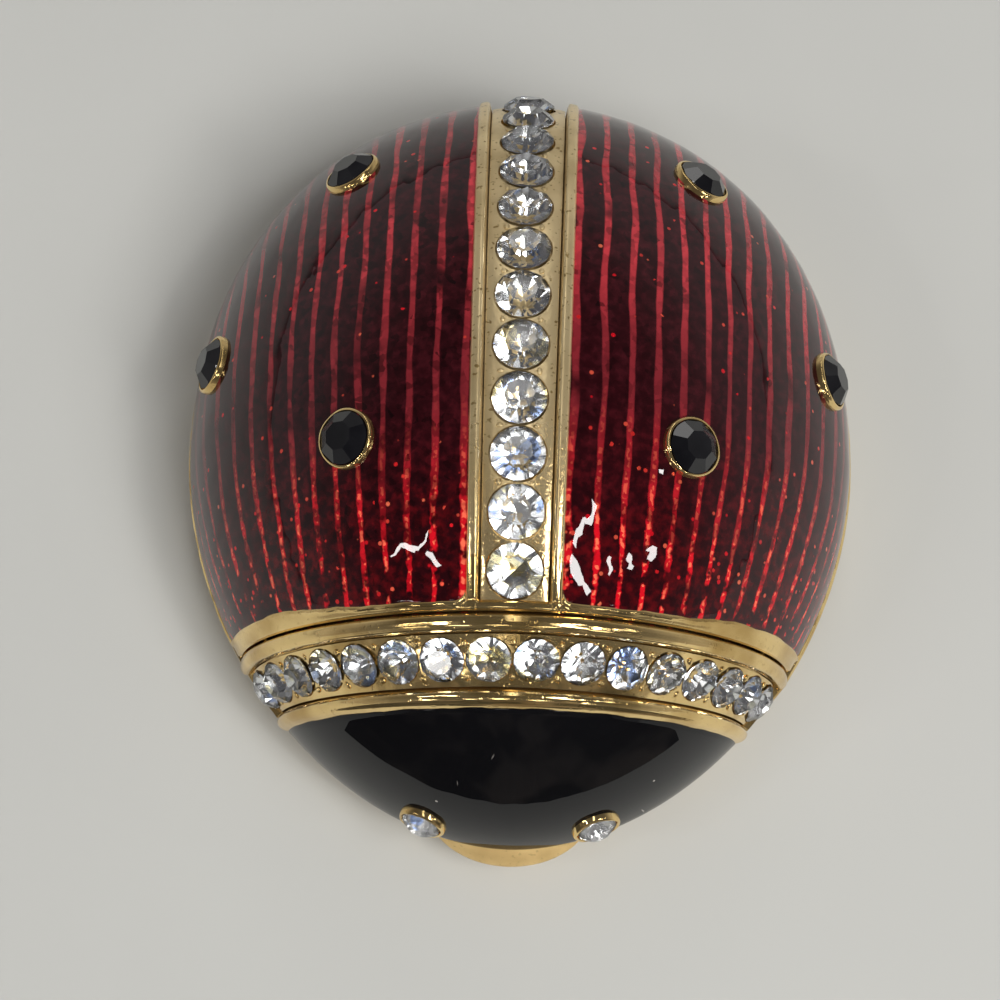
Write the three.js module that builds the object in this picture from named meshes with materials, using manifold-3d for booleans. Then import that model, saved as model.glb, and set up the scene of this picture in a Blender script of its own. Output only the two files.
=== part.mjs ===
// Ladybug trinket box: a gilt cast-metal box in the shape of a ladybug, with a lift-off wing dome, enamel
// fills and set stones. Millimetres, +Z up. The head points to -Y, and the origin is the middle of the
// flat underside.
import * as THREE from "three";
import { mergeVertices } from "three/addons/utils/BufferGeometryUtils.js";
import Module from "manifold-3d";

const wasm = await Module();
wasm.setup();

// Body: an egg-shaped dome over a shallow pan
const halfWidth = 22;
const frontReach = 25.8;
const rearReach = 25.8;
const domeHeight = 19.5;
const seamHeight = 4.5; // top of the pan, where the dome's lower edge lies
const bellyDepth = 9; // how deep the pan's curve would go if the flat underside didn't cut it
const widestY = 0.9;
const apexY = -1.9;
// Roundness of the egg's curves: 2 is an ellipse, and less is more pointed
const planRearPower = 2.15;
const planFrontPower = 1.87;
const profileRearPower = 2.04;
const profileFrontPower = 2.02;
const sectionPower = 1.86;
const bellyPower = 2;
// Facets round and along the skin, and on the hidden surfaces inside it
const skinAround = 40;
const skinAlong = 26;
const innerAround = 20;
const innerAlong = 12;
const smallestFeature = 0.03; // flats and edges closer to straight than this are joined up

// Walls and the fit of the lid on the base
const lidWall = 1.8;
const floorThickness = 1.6;
const seamGap = 0.15;
const lipThickness = 0.8;
const lipClearance = 0.15;
const lipHeight = 1.2;
const rimProud = 0.2; // of the pan past the dome all round

// The arched seam between the lid and the head, a plane that leans over the head as it rises
const seamY = -13.7;
const seamLean = -0.097;
// The front edge of the jewelled band over the head leans further
const headLean = -0.144;

// Raised ridges on both sides of each row of stones, and the sunk channel between them
const ridgeProud = 0.25;
const channelDepth = 0.3;
const stripRidgeWidth = 0.75;
const stripMargin = 0.55; // beside the stones
const bandRidgeWidth = 0.85;
const bandMargin = 0.15;
const lidBorder = 0.55; // gold left between the enamel and the lid's edges

// Enamel fills
const enamelThickness = 0.7;
const enamelGap = 0.1;
const enamelCorner = 0.9;
const headBorder = 0.7;

// Stones, cut as shares of their own diameter
const stripStone = 3.4;
const stripSpacing = 0.2;
const stripStart = 0.2; // of bare channel before the first stone
const stripEnd = 0.6; // the least bare channel after the last
const bandStone = 2.6;
const bandSpacing = 0.3; // at least
const bandEndHeight = 1.5; // of the lowest stones' middles above the seam
const spotStone = 3.1;
const eyeStone = 2.5;
const stoneSides = 8;
const cupSides = 12;
const tableShare = 0.56;
const crownShare = 0.2;
const pavilionShare = 0.32;
const stoneClearance = 0.1;
const stoneLift = 0.05; // of a girdle above its channel or its cup
const cupWall = 0.3;
const cupProud = 0.25;
// Each pair of black spots: its place along the body, and its angle above the rim round the body
const spotPairs = [
  { name: "front", y: -4.3, degrees: 58.7 },
  { name: "side", y: 4.4, degrees: 22.5 },
  { name: "rear", y: 16.5, degrees: 48.7 },
];
const eyeX = 5.5;
const eyeHeight = 2; // above the seam

// The gold muzzle under the head
const muzzleHalfWidth = 5.4;
const muzzleHalfHeight = 1.9;
const muzzleProud = 0.8; // past the head's tip
const muzzleDepth = 4;
const muzzleHeight = 1.1; // of its middle below the seam
const muzzleAround = 16;
const muzzleAlong = 10;

const cupDepth = 1.6; // from a stone's girdle to the foot of its cup, sunk in the wall
const pocketRise = 2; // how far a cutter stands out of the surface that it cuts
const roomy = 100; // past every side of the body
const curveSteps = 200; // of the fine curves that stones are spaced along
const settlePasses = 8; // to find where the skin meets a leaning arch

// Egg curves
const fallOff = (t, power) => Math.pow(Math.max(0, 1 - Math.pow(Math.min(1, Math.abs(t)), power)), 1 / power);

// How wide or high the skin is at a place along the body, as a share of its most
function curveShare(y, inset, middle, rearPower, frontPower) {
  const behind = y > middle;
  const span = behind ? rearReach - inset - middle : frontReach - inset + middle;
  return fallOff((y - middle) / span, behind ? rearPower : frontPower);
}

function widthAt(y, inset) {
  return (halfWidth - inset) * curveShare(y, inset, widestY, planRearPower, planFrontPower);
}

function heightAt(y, inset) {
  return (domeHeight - inset) * curveShare(y, inset, apexY, profileRearPower, profileFrontPower);
}

function bellyAt(y, inset) {
  return (bellyDepth - inset) * curveShare(y, inset, apexY, bellyPower, bellyPower);
}

// A point of the skin, or of a surface that lies inset under it.
// The angle goes round the body from +X over the crown
function skinPoint(y, angle, inset) {
  const across = Math.cos(angle);
  const up = Math.sin(angle);
  const rise = up >= 0 ? heightAt(y, inset) : bellyAt(y, inset);
  const power = 2 / sectionPower;
  return new THREE.Vector3(
    widthAt(y, inset) * Math.sign(across) * Math.pow(Math.abs(across), power),
    y,
    seamHeight + rise * Math.sign(up) * Math.pow(Math.abs(up), power),
  );
}

// The direction straight out of the skin at a point above the seam
function skinNormal(point) {
  const level = (p) =>
    Math.pow(Math.abs(p.x) / widthAt(p.y, 0), sectionPower) +
    Math.pow(Math.max(0, p.z - seamHeight) / heightAt(p.y, 0), sectionPower);
  const step = 0.01;
  const slope = ["x", "y", "z"].map((axis) => {
    const ahead = point.clone();
    const back = point.clone();
    ahead[axis] += step;
    back[axis] -= step;
    return level(ahead) - level(back);
  });
  return new THREE.Vector3(...slope).normalize();
}

// Solids and geometries
function solidFrom(geometry) {
  const bare = geometry.clone();
  bare.deleteAttribute("normal");
  bare.deleteAttribute("uv");
  const merged = mergeVertices(bare, 1e-4);
  return new wasm.Manifold(
    new wasm.Mesh({
      numProp: 3,
      vertProperties: merged.attributes.position.array,
      triVerts: new Uint32Array(merged.index.array),
    }),
  );
}

function geometryFrom(solid) {
  const { numProp, numVert, vertProperties, triVerts } = solid.simplify(smallestFeature).getMesh();
  const positions = new Float32Array(numVert * 3);
  for (let i = 0; i < numVert; i += 1) {
    positions.set(vertProperties.subarray(i * numProp, i * numProp + 3), i * 3);
  }
  const geometry = new THREE.BufferGeometry();
  geometry.setAttribute("position", new THREE.BufferAttribute(positions, 3));
  geometry.setIndex(new THREE.BufferAttribute(triVerts, 1));
  geometry.computeVertexNormals();
  return geometry;
}

const join = (solids) => solids.reduce((sum, solid) => sum.add(solid));

// The whole egg, inset from the skin: a sphere with its poles at the head and the tail, drawn to shape
function egg(inset) {
  const hidden = inset >= enamelThickness;
  const around = hidden ? innerAround : skinAround;
  const geometry = new THREE.SphereGeometry(1, around, hidden ? innerAlong : skinAlong);
  const place = geometry.attributes.position;
  for (let i = 0; i < place.count; i += 1) {
    const along = place.getY(i);
    const span = along > 0 ? rearReach - inset - widestY : frontReach - inset + widestY;
    const angle = Math.atan2(place.getZ(i), place.getX(i));
    const point = skinPoint(widestY + span * along, angle, inset);
    place.setXYZ(i, point.x, point.y, point.z);
  }
  return solidFrom(geometry);
}

const eggs = new Map();
function eggAt(inset) {
  const key = inset.toFixed(4);
  if (!eggs.has(key)) {
    eggs.set(key, egg(inset));
  }
  return eggs.get(key);
}

const layer = (outer, inner) => eggAt(outer).subtract(eggAt(inner));

// A prism that runs across the whole body, from an outline in Y and Z
function sidePrism(outline) {
  const shape = new THREE.Shape(outline.map(([y, z]) => new THREE.Vector2(y, z)));
  const geometry = new THREE.ExtrudeGeometry(shape, { depth: 2 * roomy, bevelEnabled: false });
  geometry.translate(0, 0, -roomy);
  geometry.applyMatrix4(
    new THREE.Matrix4().makeBasis(
      new THREE.Vector3(0, 1, 0),
      new THREE.Vector3(0, 0, 1),
      new THREE.Vector3(1, 0, 0),
    ),
  );
  return solidFrom(geometry);
}

function block(x0, x1, y0, y1, z0, z1) {
  const geometry = new THREE.BoxGeometry(x1 - x0, y1 - y0, z1 - z0);
  geometry.translate((x0 + x1) / 2, (y0 + y1) / 2, (z0 + z1) / 2);
  return solidFrom(geometry);
}

// Where a leaning arch plane is at a height, moved along the body by a distance
const archY = (plane, height, moved = 0) => plane.y + plane.lean * (height - seamHeight) + moved;

const seamArch = { y: seamY, lean: seamLean };
const headArch = { y: seamY - bandStone - 2 * (bandMargin + bandRidgeWidth), lean: headLean };
const middleArch = { y: (seamArch.y + headArch.y) / 2, lean: (seamLean + headLean) / 2 };

// Half widths of the strip down the middle of the lid
const channelHalf = stripStone / 2 + stripMargin;
const stripHalf = channelHalf + stripRidgeWidth;

// All that is behind a leaning arch, above a level
function behindArch(arch, moved, level) {
  return sidePrism([
    [archY(arch, level, moved), level],
    [roomy, level],
    [roomy, roomy],
    [archY(arch, roomy, moved), roomy],
  ]);
}

// All that is between two leaning arches, above a level
function betweenArches(front, frontMoved, rear, rearMoved, level) {
  return sidePrism([
    [archY(front, level, frontMoved), level],
    [archY(rear, level, rearMoved), level],
    [archY(rear, roomy, rearMoved), roomy],
    [archY(front, roomy, frontMoved), roomy],
  ]);
}

// Stones
// A chaton-cut stone about +Y, with its girdle round the origin
function stoneGeometry(diameter) {
  const radius = diameter / 2;
  const crown = diameter * crownShare;
  const profile = [
    new THREE.Vector2(0, -diameter * pavilionShare),
    new THREE.Vector2(radius, 0),
    new THREE.Vector2(radius * tableShare, crown),
    new THREE.Vector2(0, crown),
  ];
  return new THREE.LatheGeometry(profile, stoneSides);
}

// The drilled seat that a stone drops into, open above
function pocketGeometry(diameter) {
  const radius = diameter / 2 + stoneClearance;
  const profile = [
    new THREE.Vector2(0, -diameter * pavilionShare - stoneClearance),
    new THREE.Vector2(radius, 0),
    new THREE.Vector2(radius, pocketRise),
    new THREE.Vector2(0, pocketRise),
  ];
  return new THREE.LatheGeometry(profile, stoneSides);
}

function discGeometry(radius, bottom, top) {
  const profile = [
    new THREE.Vector2(0, bottom),
    new THREE.Vector2(radius, bottom),
    new THREE.Vector2(radius, top),
    new THREE.Vector2(0, top),
  ];
  return new THREE.LatheGeometry(profile, cupSides);
}

// A seat: where a stone's girdle lies, and which way its table faces
function seatAt(point, out, lift) {
  return {
    position: point.clone().addScaledVector(out, lift),
    turn: new THREE.Quaternion().setFromUnitVectors(new THREE.Vector3(0, 1, 0), out),
  };
}

function solidAtSeat(geometry, seat) {
  const placed = geometry.clone();
  placed.applyMatrix4(new THREE.Matrix4().compose(seat.position, seat.turn, new THREE.Vector3(1, 1, 1)));
  return solidFrom(placed);
}

// Seats down the crown of the lid, evenly spaced along its curve
function stripSeats() {
  let start = seamY;
  for (let pass = 0; pass < settlePasses; pass += 1) {
    start = archY(seamArch, seamHeight + heightAt(start, 0));
  }
  const crown = [];
  for (let step = 0; step <= curveSteps; step += 1) {
    const turn = (Math.PI * step) / curveSteps;
    const y = start + ((rearReach - start) * (1 - Math.cos(turn))) / 2;
    crown.push(skinPoint(y, Math.PI / 2, 0));
  }
  const curve = new THREE.CatmullRomCurve3(crown);
  const length = curve.getLength();
  const first = seamGap + lidBorder + stripStart + stripStone / 2;
  const pitch = stripStone + stripSpacing;
  const count = 1 + Math.floor((length - first - stripEnd - stripStone / 2) / pitch);
  return Array.from({ length: count }, (unused, k) => {
    const along = (first + k * pitch) / length;
    const tangent = curve.getTangentAt(along);
    const out = new THREE.Vector3(1, 0, 0).cross(tangent);
    return seatAt(curve.getPointAt(along), out, stoneLift - channelDepth);
  });
}

// Seats over the head from side to side, along the middle of the band
function bandSeats() {
  const arch = [];
  for (let step = 0; step <= curveSteps; step += 1) {
    const angle = (Math.PI * step) / curveSteps;
    let point = skinPoint(middleArch.y, angle, 0);
    for (let pass = 0; pass < settlePasses; pass += 1) {
      point = skinPoint(archY(middleArch, point.z), angle, 0);
    }
    if (point.z >= seamHeight + bandEndHeight) {
      arch.push(point);
    }
  }
  const curve = new THREE.CatmullRomCurve3(arch);
  const pitches = curve.getLength() / (bandStone + bandSpacing);
  const count = 2 * Math.max(1, Math.floor((pitches + 1) / 2));
  return Array.from({ length: count }, (unused, k) => {
    const point = curve.getPointAt(k / (count - 1));
    return seatAt(point, skinNormal(point), stoneLift - channelDepth);
  });
}

// Seats of the black spots, in mirrored pairs
function spotSeats() {
  return spotPairs.flatMap(({ name, y, degrees }) => {
    const angle = THREE.MathUtils.degToRad(degrees);
    return [
      { name: `spot_${name}_left`, angle: Math.PI - angle },
      { name: `spot_${name}_right`, angle },
    ].map((side) => {
      const point = skinPoint(y, side.angle, 0);
      return { name: side.name, ...seatAt(point, skinNormal(point), cupProud + stoneLift) };
    });
  });
}

// Where the skin of the head is at a place across it and a height over the seam
function headSkinPoint(x, height) {
  let near = -frontReach;
  let far = seamY;
  for (let pass = 0; pass < 40; pass += 1) {
    const y = (near + far) / 2;
    const inside =
      Math.pow(Math.abs(x) / Math.max(widthAt(y, 0), 1e-6), sectionPower) +
        Math.pow(height / Math.max(heightAt(y, 0), 1e-6), sectionPower) <
      1;
    if (inside) {
      far = y;
    } else {
      near = y;
    }
  }
  return new THREE.Vector3(x, far, seamHeight + height);
}

function eyeSeats() {
  return [
    { name: "eye_left", x: -eyeX },
    { name: "eye_right", x: eyeX },
  ].map(({ name, x }) => {
    const point = headSkinPoint(x, eyeHeight);
    return { name, ...seatAt(point, skinNormal(point), cupProud + stoneLift) };
  });
}

// A gold cup that carries one stone up through the enamel
function cup(diameter, seat) {
  const radius = diameter / 2 + stoneClearance + cupWall;
  return solidAtSeat(discGeometry(radius, -cupDepth, -stoneLift), seat);
}

// The hole through the enamel that a cup fills
function cupHole(diameter, seat) {
  const radius = diameter / 2 + stoneClearance + cupWall + enamelGap;
  return solidAtSeat(discGeometry(radius, -cupDepth, pocketRise), seat);
}

// The panel of one wing, seen from above, leaning with the seam and grown on every side
function wingCutter(side, grown) {
  const inner = stripHalf - grown;
  const front = seamY + seamGap + lidBorder - grown;
  const corner = enamelCorner;
  const shape = new THREE.Shape();
  shape.moveTo(inner + corner, front);
  shape.lineTo(roomy, front);
  shape.lineTo(roomy, roomy);
  shape.lineTo(inner, roomy);
  shape.lineTo(inner, front + corner);
  shape.absarc(inner + corner, front + corner, corner, Math.PI, 1.5 * Math.PI, false);
  const bottom = seamHeight + seamGap + lidBorder - grown;
  const geometry = new THREE.ExtrudeGeometry(shape, {
    depth: roomy,
    bevelEnabled: false,
    curveSegments: 4,
  });
  geometry.translate(0, 0, bottom);
  const lean = new THREE.Matrix4().makeShear(0, 0, 0, 0, 0, seamLean);
  const settle = new THREE.Matrix4().makeTranslation(0, -seamLean * seamHeight, 0);
  geometry.applyMatrix4(settle.multiply(lean));
  const right = solidFrom(geometry);
  return side > 0 ? right : right.mirror([1, 0, 0]);
}

// The panel of the head, in front of the band and over the rim, grown on every side
function headCutter(grown) {
  const bottom = seamHeight + headBorder - grown;
  return sidePrism([
    [-roomy, bottom],
    [archY(headArch, bottom, grown), bottom],
    [archY(headArch, roomy, grown), roomy],
    [-roomy, roomy],
  ]);
}

// The gold muzzle, grown on every side
function muzzle(grown) {
  const geometry = new THREE.SphereGeometry(1, muzzleAround, muzzleAlong);
  geometry.rotateX(Math.PI / 2);
  geometry.scale(muzzleHalfWidth + grown, muzzleDepth + grown, muzzleHalfHeight + grown);
  geometry.translate(0, muzzleDepth - muzzleProud - frontReach, seamHeight - muzzleHeight);
  return solidFrom(geometry);
}

// Seats, worked out once
const strip = stripSeats();
const band = bandSeats();
const spots = spotSeats();
const eyes = eyeSeats();

// The lid: the wing dome with its strip, its borders, two recesses for enamel and the cups of the spots
function lidSolid() {
  const region = behindArch(seamArch, seamGap, seamHeight + seamGap);
  const shell = layer(0, lidWall).intersect(region);
  const raised = layer(-ridgeProud, lidWall).intersect(region);
  const ridges = join([
    block(channelHalf, stripHalf, -roomy, roomy, seamHeight, roomy),
    block(-stripHalf, -channelHalf, -roomy, roomy, seamHeight, roomy),
  ]).intersect(raised);
  const channel = block(-channelHalf, channelHalf, -roomy, roomy, seamHeight - 1, roomy)
    .intersect(behindArch(seamArch, seamGap + lidBorder, seamHeight - 1))
    .subtract(eggAt(channelDepth));
  const recessDepth = enamelThickness + enamelGap;
  const recesses = join([wingCutter(1, enamelGap), wingCutter(-1, enamelGap)]).subtract(eggAt(recessDepth));
  const cups = join(spots.map((seat) => cup(spotStone, seat))).subtract(eggAt(lidWall));
  const pockets = join([
    ...strip.map((seat) => solidAtSeat(pocketGeometry(stripStone), seat)),
    ...spots.map((seat) => solidAtSeat(pocketGeometry(spotStone), seat)),
  ]);
  return shell.subtract(recesses).add(ridges).subtract(channel).add(cups).subtract(pockets);
}

// The base: the pan and the hollow head in one casting, with the lip that the lid fits round
function baseSolid() {
  const lipInset = lidWall + lipClearance;
  const wall = lipInset + lipThickness;
  const hollow = eggAt(wall).intersect(block(-roomy, roomy, -roomy, roomy, floorThickness, roomy));
  const lower = block(-roomy, roomy, -roomy, roomy, 0, seamHeight);
  const pan = eggAt(-rimProud).intersect(lower);
  const head = eggAt(0)
    .intersect(block(-roomy, roomy, -roomy, roomy, seamHeight, roomy))
    .subtract(behindArch(seamArch, 0, seamHeight));
  const lip = eggAt(lipInset)
    .intersect(block(-roomy, roomy, -roomy, roomy, floorThickness, roomy))
    .subtract(behindArch(seamArch, lipHeight, seamHeight + lipHeight));
  const ridges = join([
    betweenArches(seamArch, -bandRidgeWidth, seamArch, 0, seamHeight),
    betweenArches(headArch, 0, headArch, bandRidgeWidth, seamHeight),
  ]).intersect(layer(-ridgeProud, wall));
  const channel = betweenArches(headArch, bandRidgeWidth, seamArch, -bandRidgeWidth, seamHeight)
    .subtract(eggAt(channelDepth));
  const recess = headCutter(enamelGap).subtract(eggAt(enamelThickness + enamelGap));
  const cups = join(eyes.map((seat) => cup(eyeStone, seat))).subtract(eggAt(wall));
  const pockets = join([
    ...band.map((seat) => solidAtSeat(pocketGeometry(bandStone), seat)),
    ...eyes.map((seat) => solidAtSeat(pocketGeometry(eyeStone), seat)),
  ]);
  return join([pan, head.subtract(recess), lip, muzzle(0)])
    .subtract(hollow)
    .subtract(channel)
    .add(ridges)
    .add(cups)
    .subtract(pockets);
}

function wingEnamelSolid(side) {
  const holes = join(spots.map((seat) => cupHole(spotStone, seat)));
  return layer(0, enamelThickness).intersect(wingCutter(side, 0)).subtract(holes);
}

function headEnamelSolid() {
  const holes = join([...eyes.map((seat) => cupHole(eyeStone, seat)), muzzle(enamelGap)]);
  return layer(0, enamelThickness).intersect(headCutter(0)).subtract(holes);
}

// Finishes
const gold = new THREE.MeshStandardMaterial({ color: 0xd6a94e, roughness: 0.2, metalness: 1 });
const redEnamel = new THREE.MeshStandardMaterial({ color: 0x6a0a18, roughness: 0.08, metalness: 0.3 });
const blackEnamel = new THREE.MeshStandardMaterial({ color: 0x0a0a0c, roughness: 0.06, metalness: 0 });
const clearStone = new THREE.MeshStandardMaterial({ color: 0xe8edf2, roughness: 0.03, metalness: 0.2 });
const blackStone = new THREE.MeshStandardMaterial({ color: 0x08080a, roughness: 0.03, metalness: 0 });

// The box, piece by piece
const box = new THREE.Group();

function addPiece(name, geometry, material, seat) {
  const piece = new THREE.Mesh(geometry, material);
  piece.name = name;
  if (seat) {
    piece.position.copy(seat.position);
    piece.quaternion.copy(seat.turn);
  }
  box.add(piece);
}

const numbered = (name, k) => `${name}_${String(k + 1).padStart(2, "0")}`;

addPiece("base", geometryFrom(baseSolid()), gold);
addPiece("lid", geometryFrom(lidSolid()), gold);
addPiece("wing_enamel_left", geometryFrom(wingEnamelSolid(-1)), redEnamel);
addPiece("wing_enamel_right", geometryFrom(wingEnamelSolid(1)), redEnamel);
addPiece("head_enamel", geometryFrom(headEnamelSolid()), blackEnamel);
strip.forEach((seat, k) => addPiece(numbered("strip_stone", k), stoneGeometry(stripStone), clearStone, seat));
band.forEach((seat, k) => addPiece(numbered("band_stone", k), stoneGeometry(bandStone), clearStone, seat));
spots.forEach((seat) => addPiece(seat.name, stoneGeometry(spotStone), blackStone, seat));
eyes.forEach((seat) => addPiece(seat.name, stoneGeometry(eyeStone), clearStone, seat));

export default box;
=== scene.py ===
"""A ladybug trinket box: gilt casting, red and black enamel, clear and black stones."""

from __future__ import annotations

import logging
import math
from dataclasses import dataclass, field
from enum import Enum

import bpy
import numpy as np
from mathutils import Matrix, Vector

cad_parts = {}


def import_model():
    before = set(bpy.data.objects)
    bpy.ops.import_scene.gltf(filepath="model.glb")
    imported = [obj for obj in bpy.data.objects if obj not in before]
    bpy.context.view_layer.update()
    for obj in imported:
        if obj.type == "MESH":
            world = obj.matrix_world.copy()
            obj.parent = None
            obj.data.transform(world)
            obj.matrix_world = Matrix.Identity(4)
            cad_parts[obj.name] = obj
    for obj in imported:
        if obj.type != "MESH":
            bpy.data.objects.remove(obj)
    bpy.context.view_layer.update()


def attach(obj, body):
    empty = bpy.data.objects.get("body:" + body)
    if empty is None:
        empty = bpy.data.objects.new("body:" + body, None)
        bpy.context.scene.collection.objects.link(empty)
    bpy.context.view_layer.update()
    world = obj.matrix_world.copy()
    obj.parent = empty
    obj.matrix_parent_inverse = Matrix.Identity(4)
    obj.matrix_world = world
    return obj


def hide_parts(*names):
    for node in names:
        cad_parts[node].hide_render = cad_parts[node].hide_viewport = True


MM = 0.001
log = logging.getLogger("ladybug_box")
Seat = tuple[np.ndarray, np.ndarray]
Colour = tuple[float, float, float, float]


@dataclass(frozen=True)
class Arch:
    """A leaning plane that cuts across the body.

    Attributes:
        y: Where the plane crosses the seam's height, in mm.
        lean: How far it moves along the body for each mm of height.
    """

    y: float
    lean: float


@dataclass(frozen=True)
class Egg:
    """The smooth skin of the body, in mm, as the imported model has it."""

    half_width: float = 22.0
    front_reach: float = 25.8
    rear_reach: float = 25.8
    dome_height: float = 19.5
    belly_depth: float = 9.0
    seam_height: float = 4.5
    widest: float = 0.9
    apex: float = -1.9
    plan_powers: tuple[float, float] = (2.15, 1.87)
    profile_powers: tuple[float, float] = (2.04, 2.02)
    section_power: float = 1.86
    belly_power: float = 2.0

    def _share(
        self, y: np.ndarray, middle: float, powers: tuple[float, float]
    ) -> tuple[np.ndarray, np.ndarray]:
        """Share of the full size at each place along the body.

        Args:
            y: Places along the body.
            middle: Where the size is fullest.
            powers: Roundness behind and in front of the middle.

        Returns:
            The share, and its slope along the body divided by the share.
        """
        rear = y > middle
        span = np.where(rear, self.rear_reach - middle, self.front_reach + middle)
        power = np.where(rear, powers[0], powers[1])
        part = np.clip(np.abs((y - middle) / span), 0.0, 1.0 - 1e-9)
        left = 1.0 - part**power
        slope = -np.sign(y - middle) * part ** (power - 1.0) / span / left
        return left ** (1.0 / power), slope

    def width(self, y: np.ndarray) -> np.ndarray:
        """Half width at each place along the body."""
        return self.half_width * self._share(np.asarray(y, float), self.widest, self.plan_powers)[0]

    def height(self, y: np.ndarray) -> np.ndarray:
        """Height of the crown over the seam at each place along the body."""
        return self.dome_height * self._share(np.asarray(y, float), self.apex, self.profile_powers)[0]

    def level(self, points: np.ndarray) -> np.ndarray:
        """How far out each point is.

        Args:
            points: The points, with x, y and z last.

        Returns:
            One on the skin, and less inside it.
        """
        powers = (self.belly_power, self.belly_power)
        up = points[..., 2] >= self.seam_height
        rise = np.where(
            up,
            self.height(points[..., 1]),
            self.belly_depth * self._share(points[..., 1], self.apex, powers)[0],
        )
        across = np.abs(points[..., 0]) / np.maximum(self.width(points[..., 1]), 1e-6)
        tall = np.abs(points[..., 2] - self.seam_height) / np.maximum(rise, 1e-6)
        return across**self.section_power + tall**self.section_power

    def normal(self, points: np.ndarray) -> np.ndarray:
        """Directions straight out of the skin.

        Args:
            points: Points on the skin, with x, y and z last.

        Returns:
            Unit vectors of the same shape.
        """
        n = self.section_power
        x, y, z = points[..., 0], points[..., 1], points[..., 2] - self.seam_height
        plan, plan_slope = self._share(y, self.widest, self.plan_powers)
        dome, dome_slope = self._share(y, self.apex, self.profile_powers)
        belly, belly_slope = self._share(y, self.apex, (self.belly_power, self.belly_power))
        wide = np.maximum(self.half_width * plan, 1e-6)
        rise = np.maximum(np.where(z >= 0, self.dome_height * dome, self.belly_depth * belly), 1e-6)
        rise_slope = np.where(z >= 0, dome_slope, belly_slope)
        across, tall = np.abs(x) / wide, np.abs(z) / rise
        slope = np.stack(
            [
                np.sign(x) * across ** (n - 1.0) / wide,
                -(across**n) * plan_slope - tall**n * rise_slope,
                np.sign(z) * tall ** (n - 1.0) / rise,
            ],
            -1,
        )
        length = np.linalg.norm(slope, axis=-1, keepdims=True)
        return slope / np.maximum(length, 1e-12)

    def row(self, y: float, lean: float, angles: np.ndarray) -> np.ndarray:
        """The skin cut by one leaning plane.

        Args:
            y: Where the plane crosses the seam's height.
            lean: How far it moves for each mm of height.
            angles: Angles round the body from +X over the crown.

        Returns:
            One point for each angle.
        """
        power = 2.0 / self.section_power
        up = np.maximum(np.sin(angles), 0.0) ** power
        across = np.sign(np.cos(angles)) * np.abs(np.cos(angles)) ** power
        place = np.full(angles.shape, float(y))
        for _ in range(30):
            place = 0.5 * place + 0.5 * (y + lean * self.height(place) * up)
        return np.stack([self.width(place) * across, place, self.seam_height + self.height(place) * up], -1)

    def descend(self, start: np.ndarray, down: np.ndarray) -> np.ndarray:
        """Moves points down a direction until they meet the skin.

        Args:
            start: Points on or over the skin.
            down: Unit directions that lead into the body.

        Returns:
            The points where the lines meet the skin.
        """
        near, far = np.zeros(start.shape[:-1]), np.full(start.shape[:-1], 6.0)
        for _ in range(46):
            middle = (near + far) / 2.0
            outside = self.level(start + down * middle[..., None]) > 1.0
            near, far = np.where(outside, middle, near), np.where(outside, far, middle)
        return start + down * ((near + far) / 2.0)[..., None]


EGG = Egg()
SEAM = Arch(-13.7, -0.097)
HEAD = Arch(-18.3, -0.144)
SEAM_GAP = 0.15


def smooth(value: np.ndarray) -> np.ndarray:
    """An even ramp from nought to one."""
    part = np.clip(value, 0.0, 1.0)
    return part * part * (3.0 - 2.0 * part)


def wobble(place: np.ndarray, seed: float, pitch: float) -> np.ndarray:
    """A steady uneven line between about minus one and one.

    Args:
        place: Distances along the line.
        seed: Which line it is.
        pitch: Length of its longest wave.

    Returns:
        The height of the line at each place.
    """
    turn = 2.0 * math.pi * place / pitch
    return (
        0.5 * np.sin(turn + seed)
        + 0.3 * np.sin(1.93 * turn + 2.3 * seed + 1.0)
        + 0.2 * np.sin(3.71 * turn + 4.1 * seed + 2.0)
    )


def spread(*parts: tuple[float, float, int]) -> np.ndarray:
    """Places along a line, in runs of even steps.

    Args:
        *parts: Start, end and number of steps of each run.

    Returns:
        All the places in order, each once.
    """
    return np.unique(np.concatenate([np.linspace(a, b, n + 1) for a, b, n in parts]).round(9))


def along_curve(points: np.ndarray, distances: np.ndarray) -> np.ndarray:
    """Points at given distances along a curve.

    Args:
        points: The curve, closely spaced.
        distances: Distances from its first point.

    Returns:
        One point for each distance.
    """
    steps = np.linalg.norm(np.diff(points, axis=0), axis=1)
    reached = np.concatenate([[0.0], np.cumsum(steps)])
    return np.stack([np.interp(distances, reached, points[:, k]) for k in range(3)], -1)


def crown_line(count: int = 1500) -> np.ndarray:
    """The crown of the lid from the seam to the tail, closely spaced.

    Args:
        count: How many points.

    Returns:
        The points, from the seam back.
    """
    start = EGG.row(SEAM.y, SEAM.lean, np.array([math.pi / 2]))[0, 1]
    turn = np.linspace(0.0, math.pi, count)
    y = start + (EGG.rear_reach - start) * (1.0 - np.cos(turn)) / 2.0
    return np.stack([np.zeros(count), y, EGG.seam_height + EGG.height(y)], -1)


def clear_choice() -> None:
    """Leaves nothing chosen."""
    bpy.ops.object.select_all(action="DESELECT")


def choose(*objects: bpy.types.Object) -> None:
    """Chooses these objects alone, with the first one active."""
    clear_choice()
    for item in objects:
        item.select_set(True)
    bpy.context.view_layer.objects.active = objects[0]


def read_points(piece: bpy.types.Object) -> np.ndarray:
    """Reads a mesh's points.

    Args:
        piece: The mesh object.

    Returns:
        Its points, one row each.
    """
    flat = np.empty(len(piece.data.vertices) * 3)
    piece.data.vertices.foreach_get("co", flat)
    return flat.reshape(-1, 3)


def write_points(piece: bpy.types.Object, points: np.ndarray) -> None:
    """Gives a mesh new points in the same order."""
    piece.data.vertices.foreach_set("co", points.astype(np.float32).ravel())
    piece.data.update()


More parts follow.
